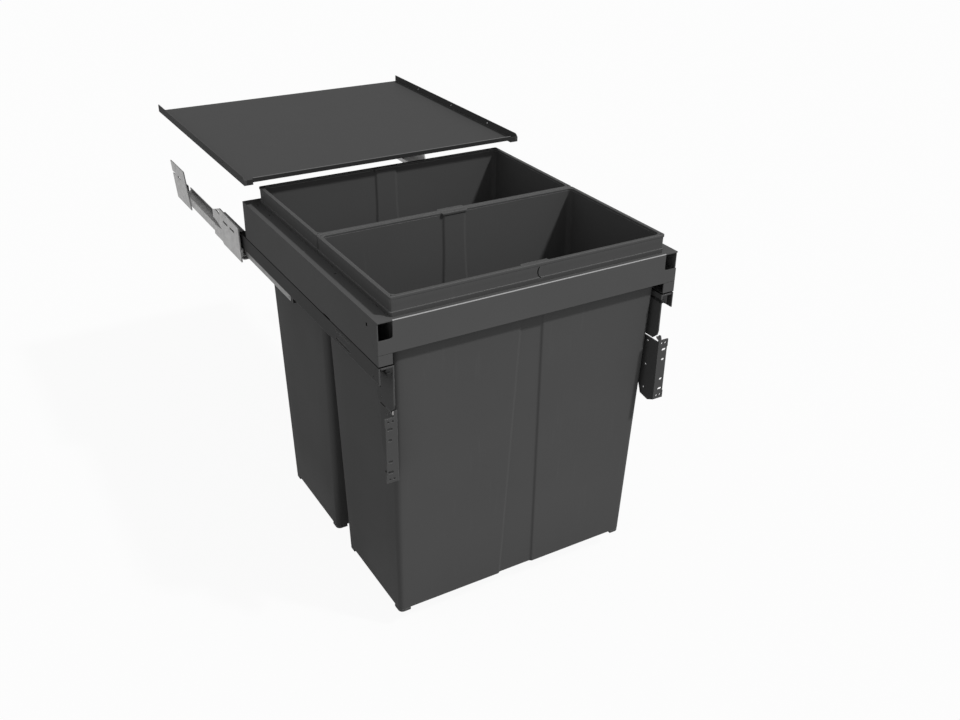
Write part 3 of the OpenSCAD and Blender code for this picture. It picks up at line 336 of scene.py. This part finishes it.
# %% Powder coats on their parts
# The paler edge greys are partly wear and partly a painted highlight; the patches are painted highlight,
# painted shade and a darker lip.
frame_coat = powder_coat("frame_powder_coat", 77, 96, 0.35 * mm,
                         [(painted_highlight_fold, 168), (frame_seam_shade, 16), (side_hole_shade, 12)])
lid_coat = powder_coat("lid_powder_coat", 66, 92, 0.5 * mm, [(darker_lip_face, 48), (lip_highlight_line, 104)])
channel_coat = powder_coat("channel_powder_coat", 66, 150, 0.45 * mm, [(channel_seam_shade, 16)])
bracket_coat = powder_coat("bracket_powder_coat", 72, 128, 0.45 * mm)
dress(frame_coat, "frame_front", "frame_rear", *both_sides("frame_side"))
dress(lid_coat, "lid_panel")
dress(channel_coat, *both_sides("carrier_rail"))
dress(bracket_coat, *both_sides("hanger_plate", "door_bracket"))
print("powder coats:", frame_coat.name, lid_coat.name, channel_coat.name, bracket_coat.name)

# %% [markdown]
# ## Galvanised and plated steel
# The rails and the plates screwed to the cabinet are bare zinc-coated steel. Zinc cools into flat crystals,
# the spangle, each of which mirrors the light a little differently, and rolling leaves faint lines along
# the sheet.
# Cells of a Voronoi pattern stand for the crystals, and a stretched noise for the lines.
# Small fasteners are plated instead: one tone, slightly yellow, with fine turning marks.

# %% Zinc finishes
def zinc_sheet(name, shade):
    material, tree, shader, place = start_finish(name, 0.55)
    crystals = add(tree, "ShaderNodeTexVoronoi", Scale=150.0, Randomness=1.0)
    warp = add(tree, "ShaderNodeVectorMath", operation="ADD")
    bend = add(tree, "ShaderNodeTexNoise", Scale=60.0)
    small = add(tree, "ShaderNodeVectorMath", operation="SCALE")
    small.inputs["Scale"].default_value = 6 * mm
    tree.links.new(place, bend.inputs["Vector"])
    tree.links.new(bend.outputs["Color"], small.inputs[0])
    tree.links.new(place, warp.inputs[0])
    tree.links.new(small.outputs[0], warp.inputs[1])
    tree.links.new(warp.outputs[0], crystals.inputs["Vector"])
    pick = add(tree, "ShaderNodeSeparateColor")
    tree.links.new(crystals.outputs["Color"], pick.inputs[0])
    lines = mottle(tree, place, 700.0, 2.0, (1, 0.04, 1))
    spangle = blend_colours(tree, pick.outputs[0], grey(shade - 5, 0.004), grey(shade + 6, 0.01))
    metal = blend_colours(tree, spread(tree, lines, 0, 0.25), spangle, grey(shade - 14))
    metal = blend_colours(tree, edge_wear_and_highlight(tree, 0.5 * mm), metal, grey(shade + 22))
    tree.links.new(metal, shader.inputs["Base Color"])
    tree.links.new(spread(tree, pick.outputs[1], 0.42, 0.52, 0.0, 1.0), shader.inputs["Roughness"])
    raise_bumps(tree, shader, lines, 0.04 * mm, 0.25, 0.5 * mm)
    return material


def plated(name, shade):
    material, tree, shader, place = start_finish(name, 0.8)
    marks = mottle(tree, place, 900.0, 3.0)
    tone = blend_colours(tree, spread(tree, marks, 0, 1), grey(shade - 10, 0.02), grey(shade + 8, 0.02))
    tree.links.new(tone, shader.inputs["Base Color"])
    tree.links.new(spread(tree, marks, 0.26, 0.42), shader.inputs["Roughness"])
    raise_bumps(tree, shader, marks, 0.03 * mm, 0.3, 0.3 * mm)
    return material


zinc_parts = both_sides("cabinet_rail", "front_bracket", "rear_bracket")
bright_plate = plated("plated_screw", 190)
dress(zinc_sheet("galvanised_sheet", 172), *zinc_parts)
# The middle rails get a darker zinc than the other zinc parts.
dress(zinc_sheet("darker_zinc_sheet", 132), *both_sides("middle_rail"))
dress(plated("plated_rivet", 150), *both_sides("rail_rivets", "lever_pin"))
print("zinc on", len(zinc_parts), "parts")

# %% [markdown]
# ## Small mouldings, rubber and balls
# Ball cages are pale moulded plastic, the nose caps, lock blocks and levers black, and the stops are rubber.
# Each gets a soft mottled surface with its own dullness. The balls are polished steel with only the
# faintest haze.

# %% Small part finishes
def moulded(name, shade, low, high, grain=1500.0, depth=0.04 * mm, metallic=0.0):
    """A mottled surface whose roughness runs from low to high with its grain."""
    material, tree, shader, place = start_finish(name, metallic, 0.2)
    grains = mottle(tree, place, grain, 2.0)
    clouds = mottle(tree, place, 30.0, 3.0)
    tone = blend_colours(tree, spread(tree, clouds, 0, 1), grey(shade - 4), grey(shade + 4))
    tone = blend_colours(tree, edge_wear_and_highlight(tree, 0.3 * mm), tone, grey(shade + 14))
    tree.links.new(tone, shader.inputs["Base Color"])
    tree.links.new(spread(tree, grains, low, high), shader.inputs["Roughness"])
    raise_bumps(tree, shader, grains, depth, 0.3, 0.4 * mm)
    return material


lever_black = moulded("lever_black_plastic", 30, 0.5, 0.65)
stop_rubber = moulded("stop_black_rubber", 42, 0.7, 0.9, 700.0, 0.1 * mm)
polish = moulded("polished_ball", 225, 0.08, 0.14, 300.0, 0.004 * mm, 1.0)
dress(moulded("lock_block_plastic", 40, 0.5, 0.65), *both_sides("lock_block"))
dress(moulded("nose_plastic", 24, 0.5, 0.6), *both_sides("middle_nose"))
dress(moulded("cage_plastic", 214, 0.35, 0.5), *both_sides("upper_cage", "lower_cage"))
dress(polish, *both_sides("upper_balls", "lower_balls"))
print("mouldings:", lever_black.name, stop_rubber.name)

# %% [markdown]
# ## Skins from rings
# Most pieces that are built anew here are stacks of closed rings: each ring is a list of points, and
# neighbouring rings are joined by faces. It is the way a pot is coiled, and it keeps full control of every
# edge.
# The helper below closes the stack at both ends. Turned pieces such as rivets are rings round an axis.

# %% Skin a stack of rings
def skin(rows, name):
    """One closed mesh from the rings, capped at both ends."""
    mesh = bmesh.new()
    loops = [[mesh.verts.new(Vector(p) * mm) for p in row] for row in rows]
    count = len(loops[0])
    for low, high in zip(loops, loops[1:]):
        for i in range(count):
            j = (i + 1) % count
            mesh.faces.new((low[i], low[j], high[j], high[i]))
    for loop in (loops[0], loops[-1]):
        middle = mesh.verts.new(sum((v.co for v in loop), Vector()) / count)
        for i in range(count):
            mesh.faces.new((loop[i], loop[(i + 1) % count], middle))
    bmesh.ops.recalc_face_normals(mesh, faces=mesh.faces)
    data = bpy.data.meshes.new(name)
    mesh.to_mesh(data)
    mesh.free()
    return data


# %% Work with whole meshes
def joined(data_list, name):
    """One mesh from several."""
    mesh = bmesh.new()
    for data in data_list:
        mesh.from_mesh(data)
    data = bpy.data.meshes.new(name)
    mesh.to_mesh(data)
    mesh.free()
    return data


def carved(data, tool_data, name, way="DIFFERENCE"):
    """The mesh after an exact boolean with a second one."""
    body = bpy.data.objects.new(name, data)
    tool = bpy.data.objects.new(name + "_tool", tool_data)
    for item in (body, tool):
        bpy.context.scene.collection.objects.link(item)
    cut = body.modifiers.new("carve", "BOOLEAN")
    cut.operation, cut.solver, cut.object = way, "EXACT", tool
    done = bpy.data.meshes.new_from_object(body.evaluated_get(bpy.context.evaluated_depsgraph_get()))
    for item in (body, tool):
        bpy.data.objects.remove(item)
    return done


def smooth(data):
    """Shades a mesh smooth, and keeps edges sharper than 38 degrees."""
    data.shade_smooth()
    data.set_sharp_from_angle(angle=math.radians(38))
    return data


def place_piece(data, name, material, body, slot, *stands_for):
    """Puts a finished mesh into the scene as a piece of one body."""
    data.materials.clear()
    data.materials.append(material)
    piece = bpy.data.objects.new(name, data)
    bpy.context.scene.collection.objects.link(piece)
    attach(piece, body)
    if stands_for:
        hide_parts(*stands_for)
    return piece


# %% Outlines and turned pieces
def stacked(rows, place, axis, name):
    """Outlines of points, each with its distance along an axis, in millimetres from a place."""
    turn = Vector(axis).to_track_quat("Z", "X")
    rings = [[Vector(place) + turn @ Vector((u, v, h)) for u, v in outline] for outline, h in rows]
    return skin(rings, name)


def circle(r, count):
    turns = [math.tau * i / count for i in range(count)]
    return [(r * math.cos(turn), r * math.sin(turn)) for turn in turns]


def rounded(wide, tall, r, middle=(0, 0), steps=4):
    """An oblong with round corners."""
    points = []
    for quarter, (k, n) in enumerate(((1, 1), (-1, 1), (-1, -1), (1, -1))):
        for i in range(steps + 1):
            turn = math.radians(90 * quarter + 90 * i / steps)
            points.append((middle[0] + k * (wide / 2 - r) + r * math.cos(turn),
                           middle[1] + n * (tall / 2 - r) + r * math.sin(turn)))
    return points


def turned(profile, place, axis, name, count=20):
    """A turned piece. Its profile lists radii and distances along the axis, in millimetres."""
    return stacked([(circle(r, count), h) for r, h in profile], place, axis, name)


# %% [markdown]
# ## Rivets and clamp screws
# The frame's corners and channels are held by domed rivets. In the CAD model a rivet is a plain pin with a
# flat head.
# Each pin's place, axis and head are read from its own solid here, so the domed rivets land where the holes
# are.
# The clamp screws get a pan head with a cross recess, because that is what a fitter's screwdriver needs.

# %% Read the pins from a CAD part
def solids_of(name):
    """The separate solids of a part, each as a list of its points in millimetres."""
    mesh = bmesh.new()
    mesh.from_mesh(parts[name].data)
    bmesh.ops.remove_doubles(mesh, verts=mesh.verts, dist=0.02 * mm)
    left, solids = set(mesh.verts), []
    while left:
        group, edge_of_group = set(), [left.pop()]
        while edge_of_group:
            vert = edge_of_group.pop()
            group.add(vert)
            near = [e.other_vert(vert) for e in vert.link_edges]
            edge_of_group += [v for v in near if v in left]
            left.difference_update(near)
        solids.append([v.co / mm for v in group])
    mesh.free()
    return solids


def pins_of(name):
    """The pins of a part, each as its axis towards the head, its start, its length and its head radius."""
    found = []
    for points in solids_of(name):
        low = Vector([min(p[i] for p in points) for i in range(3)])
        high = Vector([max(p[i] for p in points) for i in range(3)])
        spans, middle = high - low, (low + high) / 2
        # A pin is as wide as it is deep, so its axis is the one whose span has no equal.
        odd = max(range(3), key=lambda i: min(abs(spans[i] - spans[j]) for j in range(3) if j != i))
        along = [Vector([(p - middle)[i] if i == odd else 0 for i in range(3)]) for p in points]
        radii = [((p - middle) - shift).length for p, shift in zip(points, along)]
        head_r = max(radii)
        head_side = sum(p[odd] - middle[odd] for p, r in zip(points, radii) if r > head_r * 0.98)
        axis = Vector([0, 0, 0])
        axis[odd] = 1 if head_side > 0 else -1
        found.append((axis, middle - axis * spans[odd] / 2, spans[odd], head_r))
    return sorted(found, key=lambda pin: tuple(round(v, 2) for v in pin[1]))


# %% Domed rivets
def domed_rivet(axis, start, length, head_r):
    """A rivet with a chamfered shank end and a dome that rises from a thin straight rim."""
    shank_r, head_h, rim_h = 2.0, 1.5, 0.25
    under = length - head_h
    base = under + rim_h
    line = [(shank_r - 0.3, 0.02), (shank_r, 0.3), (shank_r, under), (head_r, under), (head_r, base)]
    for lean in (20, 40, 58, 73, 84):
        turn = math.radians(lean)
        line.append((head_r * math.cos(turn), base + (length - base) * math.sin(turn)))
    return turned(line, start, axis, "rivet")


black_rivet = plated("blackened_rivet", 40)
for name, material, slot in (("frame_rivets", frame_coat, "frame"), ("hanger_rivets", black_rivet, "rivet")):
    pins = pins_of(name)
    rivets = [domed_rivet(*pin) for pin in pins]
    place_piece(smooth(joined(rivets, name + "_domed")), name + "_domed", material, "carriage", slot, name)
    print(name, len(pins), "rivets, heads", round(2 * pins[0][3], 2), "mm wide")

# %% Clamp screws
def clamp_screw(axis, start, length, head_r):
    """A pan-head screw, its end just inside the plate that it holds, with a cross recess in its head."""
    head_h, shank_r, sunk = 1.5, 1.6, 0.8
    arm_long, arm_wide, arm_r, recess = 4.6, 0.9, 0.2, 1.1
    under = length - head_h
    line = [(shank_r - 0.4, sunk), (shank_r, sunk + 0.4), (shank_r, under), (head_r - 0.15, under)]
    line += [(head_r, under + 0.15), (head_r, length - 0.75), (head_r * 0.93, length - 0.35),
             (head_r * 0.8, length - 0.1), (head_r * 0.6, length)]
    screw = turned(line, start, axis, "screw", 24)
    for arm in (rounded(arm_long, arm_wide, arm_r), rounded(arm_wide, arm_long, arm_r)):
        slot = stacked([(arm, length - recess), (arm, length + 1)], start, axis, "slot")
        screw = carved(screw, slot, "cross_screw")
    return screw


for side in ("left", "right"):
    screws = [clamp_screw(*pin) for pin in pins_of(side + "_clamp_screws")]
    name = side + "_clamp_pan_screws"
    place_piece(smooth(joined(screws, name)), name, bright_plate, "carriage", "screw", side + "_clamp_screws")
    print(side, len(screws), "clamp screws")

# %% [markdown]
# ## Release levers, stops and height nuts
# A finger presses the lever's ribbed tip to unhook the frame from its channels. The lever is a moulded bar
# with a round boss on its pin and an upright hook, so it is a stack of oblong rings, joined to a turned
# boss and a hook.
# The stops at the rails' rear ends are soft rubber with bellows, which take the knock when the door is
# pushed shut.
# A small nut behind each door bracket's knuckle holds the bracket's height.

# %% Release levers
def release_lever(low, high):
    """The lever between two corners of its box, in millimetres. Its pieces are lists of measured sections."""
    middle, tall, wide = (low.x + high.x) / 2, 6.0, 4.5
    boss_r, pin_r, pin_h, hook_y = 4.0, 1.6, 7.0, 38
    rib_start, rib_step, rib_count, groove = 1.6, 1.5, 8, 0.8
    rib = ((0, 0), (0.5, 0), (0.7, groove), (1.3, groove))
    shape = [(0, 3.6, 2.9), (0.25, 5.0, 3.9), (0.8, 5.8, 4.4)]
    for i in range(rib_count):
        shape += [(rib_start + rib_step * i + t, tall - cut, wide) for t, cut in rib]
    shape += [(14.4, 6.0, 4.5), (17, 5.8, 4.4), (21, 5.0, 4.0)]
    shape += [(50, 5.0, 4.0), (56, 6.0, 4.4), (62, 6.0, 4.4)]
    sections = [(rounded(w, t, 0.8, (0, -t / 2)), d) for d, t, w in shape]
    bar = stacked(sections, (middle, low.y, low.z + tall), (0, 1, 0), "bar")
    pivot = Vector((low.x, high.y - boss_r, low.z + pin_h))
    boss_line = [(boss_r - 0.6, 0), (boss_r, 0.5), (boss_r, wide - 0.5), (boss_r - 0.6, wide)]
    boss = turned(boss_line, pivot, (1, 0, 0), "boss", 28)
    hook_line = [(-1, 4.4, 4.0), (10, 4.4, 4.0), (12.6, 4.4, 3.8), (13.2, 4.1, 3.2), (13.5, 3.4, 2.2)]
    sections = [(rounded(w, d, 0.6), h) for h, w, d in hook_line]
    hook = stacked(sections, (middle, low.y + hook_y, low.z + tall), (0, 0, 1), "hook")
    lever = carved(carved(bar, boss, "lever", "UNION"), hook, "lever", "UNION")
    bore = turned([(pin_r, -1), (pin_r, wide + 1)], pivot, (1, 0, 0), "bore", 24)
    return carved(lever, bore, "release_lever")


for side in ("left", "right"):
    node = side + "_release_lever"
    low, high = (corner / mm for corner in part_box(node))
    lever = smooth(release_lever(low, high))
    place_piece(lever, side + "_ribbed_lever", lever_black, side + "_lever", "lever_plastic", node)
    print(side, "lever", len(lever.polygons), "faces")

# %% Stops
def bellows_stop(low, high):
    """A rubber stop with three soft ribs at its front and a plain foot behind."""
    wide, long, tall = high - low
    rib_start, rib_step, rib_count, corner_r = 0.5, 1.8, 3, 1.8
    rib = ((0, 0.45), (0.35, 0.12), (0.8, 0.05), (1.2, 0.3), (1.5, 0.9))
    line = [(0, 1.3), (0.2, 0.8)]
    for i in range(rib_count):
        line += [(rib_start + rib_step * i + t, cut) for t, cut in rib]
    line += [(6.1, 0.5), (6.4, 0.1), (long - 0.4, 0.1), (long, 0.5)]
    sections = [(rounded(wide - 2 * cut, tall - 2 * cut, corner_r), d) for d, cut in line]
    return stacked(sections, ((low.x + high.x) / 2, low.y, (low.z + high.z) / 2), (0, 1, 0), "stop")


for side in ("left", "right"):
    node = side + "_rail_stop"
    low, high = (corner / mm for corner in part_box(node))
    stop = smooth(bellows_stop(low, high))
    place_piece(stop, side + "_bellows_stop", stop_rubber, "cabinet_side_parts", "buffer", node)
    print(side, "stop", tuple(round(v, 1) for v in high - low))

# %% Height nuts
nut_out, nut_back, nut_down = 3.8, 2.0, 127.6
hexagon = [(2.7, 0), (2.9, 0.25), (2.9, 2.6), (2.6, 2.9)]
stub = [(1.5, 2.5), (1.5, 5.2), (1.2, 5.6)]
for side, k in (("left", -1), ("right", 1)):
    low, high = (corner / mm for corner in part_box(side + "_door_bracket"))
    inner = low.x if k > 0 else high.x
    place = Vector((inner + k * nut_out, low.y + nut_back, plate_high.z / mm - nut_down))
    turnings = [turned(hexagon, place, (0, 1, 0), "nut", 6), turned(stub, place, (0, 1, 0), "stub", 16)]
    nut = smooth(joined(turnings, "height_nut"))
    place_piece(nut, side + "_height_nut", bright_plate, side + "_door_angle", "screw")
    print(side, "height nut at", tuple(round(v, 1) for v in place))

# %% [markdown]
# ## The bins
# A bin is one injection moulding: a tapered body, a ledge that rests on the frame, a collar and a rolled
# rim.
# A plastic wall has a rounded edge everywhere, which the CAD solid only hints at, so the bins are built
# again as one skin. The skin is a stack of closed rings that climbs the outside, turns over the rim and
# goes down the inside.
# Every ring has the same points in the same order: four corner arcs, two short sides, and two long sides
# whose points follow the edges of the sunk middle panel. Heights are counted from the top of the body.

# %% Sizes of a bin
body_x, body_y = 203.0, 106.8
bin_depth = 482.0
side_draw, end_draw = 9.8, 20.0
top_round, foot_round = 10.0, 7.0
wall, foot_rise, floor_thick, floor_round = 2.2, 4.0, 2.6, 8
collar, rim_out, ledge, band, collar_round = 26.5, 3.0, 6.5, 3.5, 3.0
panel_start, panel_top, panel_foot, panel_sink = -33.5, 15.2, 28.0, 2.5
hold_half, hold_reach, hold_soft = 20.0, 4.0, 1.0
wall_heights = (-380, -260, -150, -80)
print("bin", 2 * (body_x + rim_out), "x", round(2 * (body_y + rim_out), 1), "x", bin_depth + collar, "mm")


# %% One ring of the skin
def ring(z, out=0.0, dent=0.0, half=None, soft=2.2, corner=None):
    """Points round the bin at a height. out is how far the ring lies outside the body's outer face.
    The middle of each long side lies dent inside that: half is half its width, and soft half the width of
    its edges. Without half the middle is as wide as the sunk panel, and without corner the corners are as
    round as the body's."""
    share = max(0.0, -z / bin_depth)
    x, y = body_x - side_draw * share + out, body_y - end_draw * share + out
    r = corner if corner else max(top_round + (foot_round - top_round) * share + min(out, 0.0), 1.0)
    half = half if half else panel_top + (panel_foot - panel_top) * share
    flank, arc_steps = soft + 0.8, 8
    stops = [(-half - soft * k, 0.5 - 0.5 * math.sin(math.radians(90 * k))) for k in (1, 0.5, 0, -0.5, -1)]
    stops = [(-half - flank, 0.0)] + stops + [(-half + flank, 1.0)]
    long_side = [(-(x - r) * 0.97, 0), (-(x + half) / 2, 0)] + stops
    long_side += [(0.0, 1.0)] + [(-a, d) for a, d in reversed(long_side)]
    points = []
    for turn, (cx, cy) in enumerate(((x - r, -y + r), (x - r, y - r), (-x + r, y - r), (-x + r, -y + r))):
        for i in range(arc_steps + 1):
            angle = math.radians(-90 + turn * 90 + i * 90 / arc_steps)
            points.append((cx + r * math.cos(angle), cy + r * math.sin(angle), z))
        if turn == 0 or turn == 2:
            k = 1 if turn == 0 else -1
            points += [(k * x, k * (y - r) * t, z) for t in (-0.6, 0, 0.6)]
        else:
            k = 1 if turn == 1 else -1
            points += [(-k * a, k * (y - dent * d), z) for a, d in long_side]
    return points


print(len(ring(0)), "points in each ring")


# %% The stack of rings
def outer_rings(base):
    """Rings from the edge of the underside, up the outside and over the rim."""
    foot_line = [(0, -2.4), (0.2, -1.4), (0.7, -0.6), (1.4, -0.15), (2.4, 0)]
    rows = [ring(base + z, out, panel_sink) for z, out in foot_line]
    rows += [ring(z, 0, panel_sink) for z in wall_heights + (panel_start - 6, panel_start - 1.5)]
    rows += [ring(panel_start - 0.6, 0, panel_sink * 0.6), ring(panel_start, 0), ring(-0.4, 0)]
    line = [(0, 2.2), (0.2, 2.4), (ledge - 0.8, 2.8), (ledge - 0.35, rim_out), (ledge - 0.1, 2.95)]
    line += [(ledge, 2.7), (ledge + 0.1, 2.0)]
    line += [(collar - band - 0.8, 2.3), (collar - band - 0.2, 2.55), (collar - band, rim_out - 0.1)]
    line += [(collar - band + 0.3, rim_out), (collar - 0.35, rim_out), (collar - 0.1, 2.9), (collar, 2.65)]
    return rows + [ring(z, out, 0, hold_half, hold_soft, collar_round) for z, out in line]


def inner_rings(base):
    """Rings from the rim's inner edge down to the inner floor."""
    line = [(collar, -1.7), (collar - 0.1, -2.0), (collar - 0.45, -wall), (collar - band + 0.4, -wall)]
    line += [(collar - band, -wall + 0.3)]
    rows = [ring(z, out, hold_reach, hold_half, hold_soft) for z, out in line]
    rise_half = panel_top + wall
    rows += [ring(z, -wall, panel_sink, rise_half) for z in (collar - band, 0, panel_start)]
    for z in reversed(wall_heights):
        rows.append(ring(z, -wall, panel_sink, rise_half + (panel_foot - panel_top) * -z / bin_depth))
    low = base + floor_thick
    for i in range(6):
        lean = math.radians(i * 18)
        rise, inset = floor_round * (1 - math.sin(lean)), floor_round * (1 - math.cos(lean))
        rows.append(ring(low + rise, -wall - inset, panel_sink, panel_foot + wall))
    return rows


# %% The corner feet
def corner_foot(k, n):
    """Rings of one corner foot: k and n say which corner."""
    x, y, r, length = body_x - side_draw, body_y - end_draw, foot_round, 17.0
    turns = [math.radians(90 * i / 8) for i in range(9)]
    rows = []
    for rise, inset in ((0, 0.9), (0.25, 0.3), (0.8, 0), (foot_rise + 0.5, 0)):
        outline = [(x - r + (r - inset) * math.cos(a), y - r + (r - inset) * math.sin(a)) for a in turns]
        outline += [(x - length + inset, y - inset), (x - length + inset, y - length + inset)]
        outline += [(x - inset, y - length + inset)]
        rows.append([(k * a, n * b, -bin_depth + rise) for a, b in outline])
    return rows


# %% [markdown]
# The moulding also has small cuts: a pocket in each corner of the rim, a long slot in both finger holds and
# a curved groove in the middle of the collar's front.
# They could be worked into the rings, but that would twist the neat flow of faces.
# A boolean cut leaves the skin alone and gives each cut a crisp edge, as a steel insert in the mould does.

# %% Cutters for the small details
def prism(outline, low, high, along="z"):
    """Two rings of a straight-sided cutter, along Z or along Y."""
    place = (lambda a, b, h: (a, b, h)) if along == "z" else (lambda a, b, h: (a, h, b))
    return [[place(a, b, h) for a, b in outline] for h in (low, high)]


def arc_points(cx, cy, r, start, end, count):
    turns = [math.radians(start + (end - start) * i / (count - 1)) for i in range(count)]
    return [(cx + r * math.cos(t), cy + r * math.sin(t)) for t in turns]


def crescent_cutter():
    """The curved groove: an arc out and a second arc back, which swells away from the first."""
    mark_x, mark_z, mark_r, mark_wide, thin_share, steps = 11.0, collar * 0.536, 10.0, 2.4, 0.3, 12
    start, sweep = 125, 130
    outline = arc_points(mark_x, mark_z, mark_r, start, start + sweep, steps)
    for i in range(steps - 1, -1, -1):
        turn = math.radians(start + sweep * i / (steps - 1))
        swell = math.sin(math.pi * (i / (steps - 1)) ** 0.7)
        r = mark_r - mark_wide * (thin_share + (1 - thin_share) * swell)
        outline.append((mark_x + r * math.cos(turn), mark_z + r * math.sin(turn)))
    return prism(outline, -body_y - rim_out - 1, -body_y + 1, "y")


def rim_cutters():
    """The long slot in each finger hold, and the moon-shaped pocket in each corner of the rim."""
    slot_half, slot_wide, pocket_in, cuts = 9.4, 0.6, 5.2, []
    for n in (-1, 1):
        middle = n * (body_y - wall - hold_reach / 2)
        near, far = middle - slot_wide, middle + slot_wide
        slot = [(-slot_half, near), (slot_half, near), (slot_half, far), (-slot_half, far)]
        cuts.append(prism(slot, collar - band / 2, collar + 1))
        for k in (-1, 1):
            cx, cy = k * (body_x + rim_out - pocket_in), n * (body_y + rim_out - pocket_in)
            lean = math.degrees(math.atan2(n, k))
            moon = arc_points(cx, cy, 2.0, lean - 100, lean + 100, 12)
            moon += arc_points(cx - k * 1.1, cy - n * 1.1, 2.1, lean + 62, lean - 62, 9)
            cuts.append(prism(moon, collar - band, collar + 1))
    return cuts


# %% [markdown]
# Both bins come from the same mould, so one finished mesh is made and used twice, each time moved to its
# own place.
# The feet are joined on and the cuts made by modifiers, whose result is kept as a plain mesh. Its faces are
# shaded smooth, and only real corners are kept sharp.

# %% Make the bin's mesh
feet = joined([skin(corner_foot(k, n), "foot") for k in (-1, 1) for n in (-1, 1)], "corner_feet")
cutters = joined([skin(rows, "cutter") for rows in [crescent_cutter()] + rim_cutters()], "bin_cutters")
underside = -bin_depth + foot_rise
shell = skin(outer_rings(underside) + inner_rings(underside), "bin_skin")
bin_mesh = carved(carved(shell, feet, "bin_shell", "UNION"), cutters, "moulded_bin")
smooth(bin_mesh)
print("bin mesh:", len(bin_mesh.vertices), "points,", len(bin_mesh.polygons), "faces")

# %% [markdown]
# ## Bin plastic
# Bins are moulded in dark grey polypropylene with a fine spark-eroded grain.
# Use leaves pale upright scuffs where hands and bags rub, and the pale edges are a painted highlight.
# The grain is a fine noise for the bumps. The scuffs are a noise drawn out along Z, let through only at its
# peaks.

# %% Bin finish
def bin_plastic(name, shade):
    material, tree, shader, place = start_finish(name, 0.0, 0.01)
    grain = mottle(tree, place, 1900.0, 1.0)
    clouds = mottle(tree, place, 7.0, 3.0)
    scuffs = mottle(tree, place, 170.0, 4.0, (1, 1, 0.05))
    tone = blend_colours(tree, spread(tree, clouds, 0, 1), grey(shade - 1), grey(shade + 1))
    tone = blend_colours(tree, spread(tree, scuffs, 0, 0.35, 0.62, 0.8), tone, grey(shade + 8))
    # A painted highlight along every edge, the rims' above all.
    tone = blend_colours(tree, edge_wear_and_highlight(tree, 0.5 * mm), tone, grey(shade + 50))
    tree.links.new(tone, shader.inputs["Base Color"])
    tree.links.new(spread(tree, clouds, 0.44, 0.56), shader.inputs["Roughness"])
    raise_bumps(tree, shader, grain, 0.05 * mm, 0.3, 0.4 * mm)
    return material


# %% Place both bins
bin_mesh.materials.append(bin_plastic("bin_polypropylene", 74.5))
for name in ("front_bin", "rear_bin"):
    low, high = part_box(name)
    skin_piece = bpy.data.objects.new(name + "_skin", bin_mesh.copy())
    skin_piece.data.transform(Matrix.Translation((0, (low.y + high.y) / 2, bin_depth * mm)))
    bpy.context.scene.collection.objects.link(skin_piece)
    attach(skin_piece, name + "_body")
    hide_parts(name)
    print(name, "from", tuple(round(v, 4) for v in low), "to", tuple(round(v, 4) for v in high))
